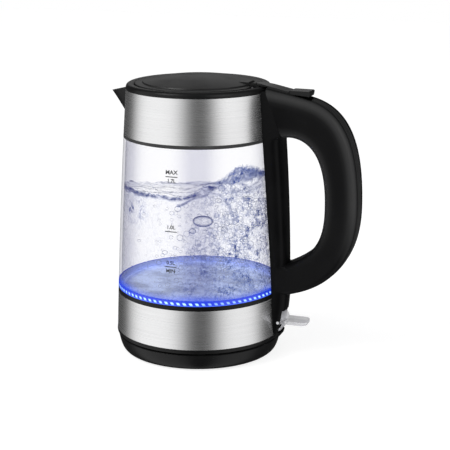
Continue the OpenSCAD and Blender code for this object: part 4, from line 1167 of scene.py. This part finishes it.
def body_core(name):
    """Everything inside the body's outer surface, as a solid of revolution."""
    foot = FOOT_Z - 4
    edge = [[0, foot - 1], [FOOT_D / 2 - 0.8, foot - 1], [FOOT_D / 2 - 0.8, foot],
            [FOOT_D / 2 + 0.1, foot + 0.8], [FOOT_D / 2 + 0.3, foot + 2.2]]
    z = np.linspace(FOOT_Z, RIM_Z, 60)
    rim = float(body_r(RIM_Z))
    collar = cubic((rim, RIM_Z + 1.4), (rim, RIM_Z + 3.2), (rim - 0.9, TOP_Z - 0.4),
                   (rim - 2.8, TOP_Z), np.linspace(0, 1, 7))
    profile = np.concatenate([edge, np.stack([body_r(z), z], 1), collar, [[0, TOP_Z]]])
    profile[:, 0] = np.maximum(profile[:, 0], 0.01)
    return revolved(name, profile, closed=False)


# ---- Column ----

PIVOT_Z = (low("switch_pin", Z) + high("switch_pin", Z)) / 2
KETTLE_Z = low("underside_cover", Z)


def column_half(z):
    """Half width of the column at height z."""
    levels = [KETTLE_Z, KETTLE_Z + 8, SEAT_Z - 16, OPENING_BOTTOM, GRIP_Z, OPENING_TOP, RIM_Z + 2]
    halves = [COLUMN_MID_W / 2 - 2.5, COLUMN_MID_W / 2 - 1, COLUMN_MID_W / 2, COLUMN_MID_W / 2,
              COLUMN_TOP_W / 2 - 1.4, COLUMN_TOP_W / 2, COLUMN_TOP_W / 2 - 1]
    return np.interp(z, levels, halves)


def column_rings():
    """Rings up the column: each is a squared-off half oval from the body out to the spine."""
    start = cubic((COLUMN_BACK - 4.2, KETTLE_Z + 8), (COLUMN_BACK - 3, KETTLE_Z + 18),
                  (COLUMN_BACK - 0.6, KETTLE_Z + 27), (COLUMN_BACK, SEAT_Z), np.linspace(0, 1, 16))
    run = cubic((COLUMN_BACK, SEAT_Z), (COLUMN_BACK + 0.3, SEAT_Z + 45),
                (COLUMN_BACK_TOP + 3.2, OPENING_TOP - 46), (COLUMN_BACK_TOP, OPENING_TOP - 5),
                np.linspace(0, 1, 40))[1:]
    spine = np.concatenate([
        [[COLUMN_BACK - 7.6, KETTLE_Z + 0.6], [COLUMN_BACK - 5.4, KETTLE_Z + 3.4]], start, run,
        [[COLUMN_BACK_TOP + 1, OPENING_TOP - 1.5], [COLUMN_BACK_TOP + 4, OPENING_TOP + 2],
         [COLUMN_BACK_TOP + 4, RIM_Z - 8], [COLUMN_BACK_TOP + 4, RIM_Z + 2]]])
    front, n = 55.0, 24
    a = np.radians(np.linspace(-90, 90, 2 * n + 1))
    rings = []
    for x, z in spine:
        half, depth = column_half(z), x - front
        power = 0.2 if z > OPENING_TOP else 0.62
        back = x - 0.5 * depth * (1 - np.abs(np.cos(a)) ** power)
        side = half * np.sign(np.sin(a)) * np.abs(np.sin(a)) ** power
        ring = np.stack([back, side, np.full_like(a, z)], 1)
        rings.append(np.concatenate([[[front, -half, z]], ring, [[front, half, z]]]))
    return np.array(rings)


class KETTLE_OT_column(bpy.types.Operator):
    """Spine behind the body with the arm's seat and the slot of the switch"""
    bl_idname = "kettle.column"
    bl_label = "Column"

    def execute(self, context):
        column = lofted("column_spine", column_rings())
        d = ROOT_OUT - ROOT_IN
        start, end = ROOT_IN - 5 * d, ROOT_OUT + d
        before = drawn("before", [(0, start[1]), start, ROOT_IN, end, (0, end[1])], Y, -40, 40)
        r, half = GRIP_ROUND, FOOT_HALF
        z0, z1 = FOOT_OUT[1], FOOT_IN[1]
        seat_outline = np.concatenate([
            arc(half - r, z1 - r, r, 0, 90, 8), arc(r - half, z1 - r, r, 90, 180, 8),
            arc(r - half, z0 + r, r, 180, 270, 8), arc(half - r, z0 + r, r, 270, 360, 8)])
        seat = drawn("seat", seat_outline, X, ARM_SEAT_X - SEAT_DEPTH, ARM_SEAT_X)
        near, far = float(body_r(PIVOT_Z)) + 0.6, 100
        under, over = PIVOT_Z - 10.4, PIVOT_Z + 10.6
        slot = drawn("slot", [(near, under), (far, under), (far, over), (near, over)], Y,
                     -SWITCH_SLOT_W / 2, SWITCH_SLOT_W / 2)
        carve(column, ("INTERSECT", before), ("UNION", seat), ("DIFFERENCE", body_core("core")),
              ("DIFFERENCE", slot))
        dress(column, moulded("column_black", tint("black"), 0.34, 0.06, 2000, 0.06))
        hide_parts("column")
        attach(column, "kettle")
        return {"FINISHED"}


# ---- Spout ----

SPOUT_REACH, SPOUT_HALF_W, SPOUT_T, SPOUT_H, SPOUT_BACK = 83.7, 17.0, 1.8, 31.0, 52.0


def spout_rings(shares, inset, lift):
    """Rings of a rounded V that grows from a point low on the body to the pouring lip."""
    foot, n = RIM_Z - SPOUT_H, 24
    u = np.linspace(-1, 1, 2 * n + 1)
    rings = []
    for t, up in zip(shares, lift):
        grow = 0.06 + 0.94 * t ** 0.85
        z = foot + (SPOUT_H + 0.6) * t + up
        half = (SPOUT_HALF_W - inset * 1.3) * grow
        root = float(body_r(foot + SPOUT_H * t)) - 6
        reach = root + 4 + (SPOUT_REACH - root - 4 - inset * 1.8) * grow
        x = root + (reach - root) * (1 - np.abs(u) ** 1.25)
        lip = np.stack([-x, -u * half, z - t * 0.2 * (x - SPOUT_BACK)], 1)
        rings.append(np.concatenate([[[-SPOUT_BACK, half, z]], lip, [[-SPOUT_BACK, -half, z]]]))
    return np.array(rings)


class KETTLE_OT_spout(bpy.types.Operator):
    """Pouring lip"""
    bl_idname = "kettle.spout"
    bl_label = "Spout"

    def execute(self, context):
        shares = np.linspace(0, 1, 33)
        spout = lofted("pouring_lip", spout_rings(shares, 0, np.zeros(33)))
        inner = np.linspace(0.125, 1, 29)
        rise = SPOUT_T * 0.7 + (3 - SPOUT_T * 0.7) * smooth_step(inner, 0.875, 1)
        carve(spout, ("DIFFERENCE", lofted("hollow", spout_rings(inner, SPOUT_T, rise))),
              ("DIFFERENCE", body_core("core")))
        dress(spout, moulded("spout_black", tint("black"), 0.32, 0.06, 2000, 0.2))
        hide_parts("spout")
        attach(spout, "kettle")
        return {"FINISHED"}


# ---- Panel and registration ----

STEPS = (KETTLE_OT_stage, KETTLE_OT_finishes, KETTLE_OT_light, KETTLE_OT_glass, KETTLE_OT_water,
         KETTLE_OT_bubbles, KETTLE_OT_marks, KETTLE_OT_handle, KETTLE_OT_column, KETTLE_OT_spout)


class KETTLE_PT_panel(bpy.types.Panel):
    """Sizes, colours and building steps of the kettle"""
    bl_idname = "KETTLE_PT_panel"
    bl_label = "Kettle"
    bl_space_type = "VIEW_3D"
    bl_region_type = "UI"
    bl_category = "Kettle"

    def draw(self, context):
        for group in (sizes(), colours()):
            box = self.layout.box()
            for name in group.__annotations__:
                box.prop(group, name)
        for step in STEPS:
            self.layout.operator(step.bl_idname)


CLASSES = (KettleSizes, KettleColours, *STEPS, KETTLE_PT_panel)


def register():
    for item in CLASSES:
        bpy.utils.register_class(item)
    bpy.types.Scene.kettle_sizes = PointerProperty(type=KettleSizes)
    bpy.types.Scene.kettle_colours = PointerProperty(type=KettleColours)


def unregister():
    del bpy.types.Scene.kettle_sizes, bpy.types.Scene.kettle_colours
    for item in reversed(CLASSES):
        bpy.utils.unregister_class(item)


def main():
    """Registers the add-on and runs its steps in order."""
    register()
    for step in STEPS:
        group, name = step.bl_idname.split(".")
        getattr(getattr(bpy.ops, group), name)()


if __name__ == "__main__":
    main()
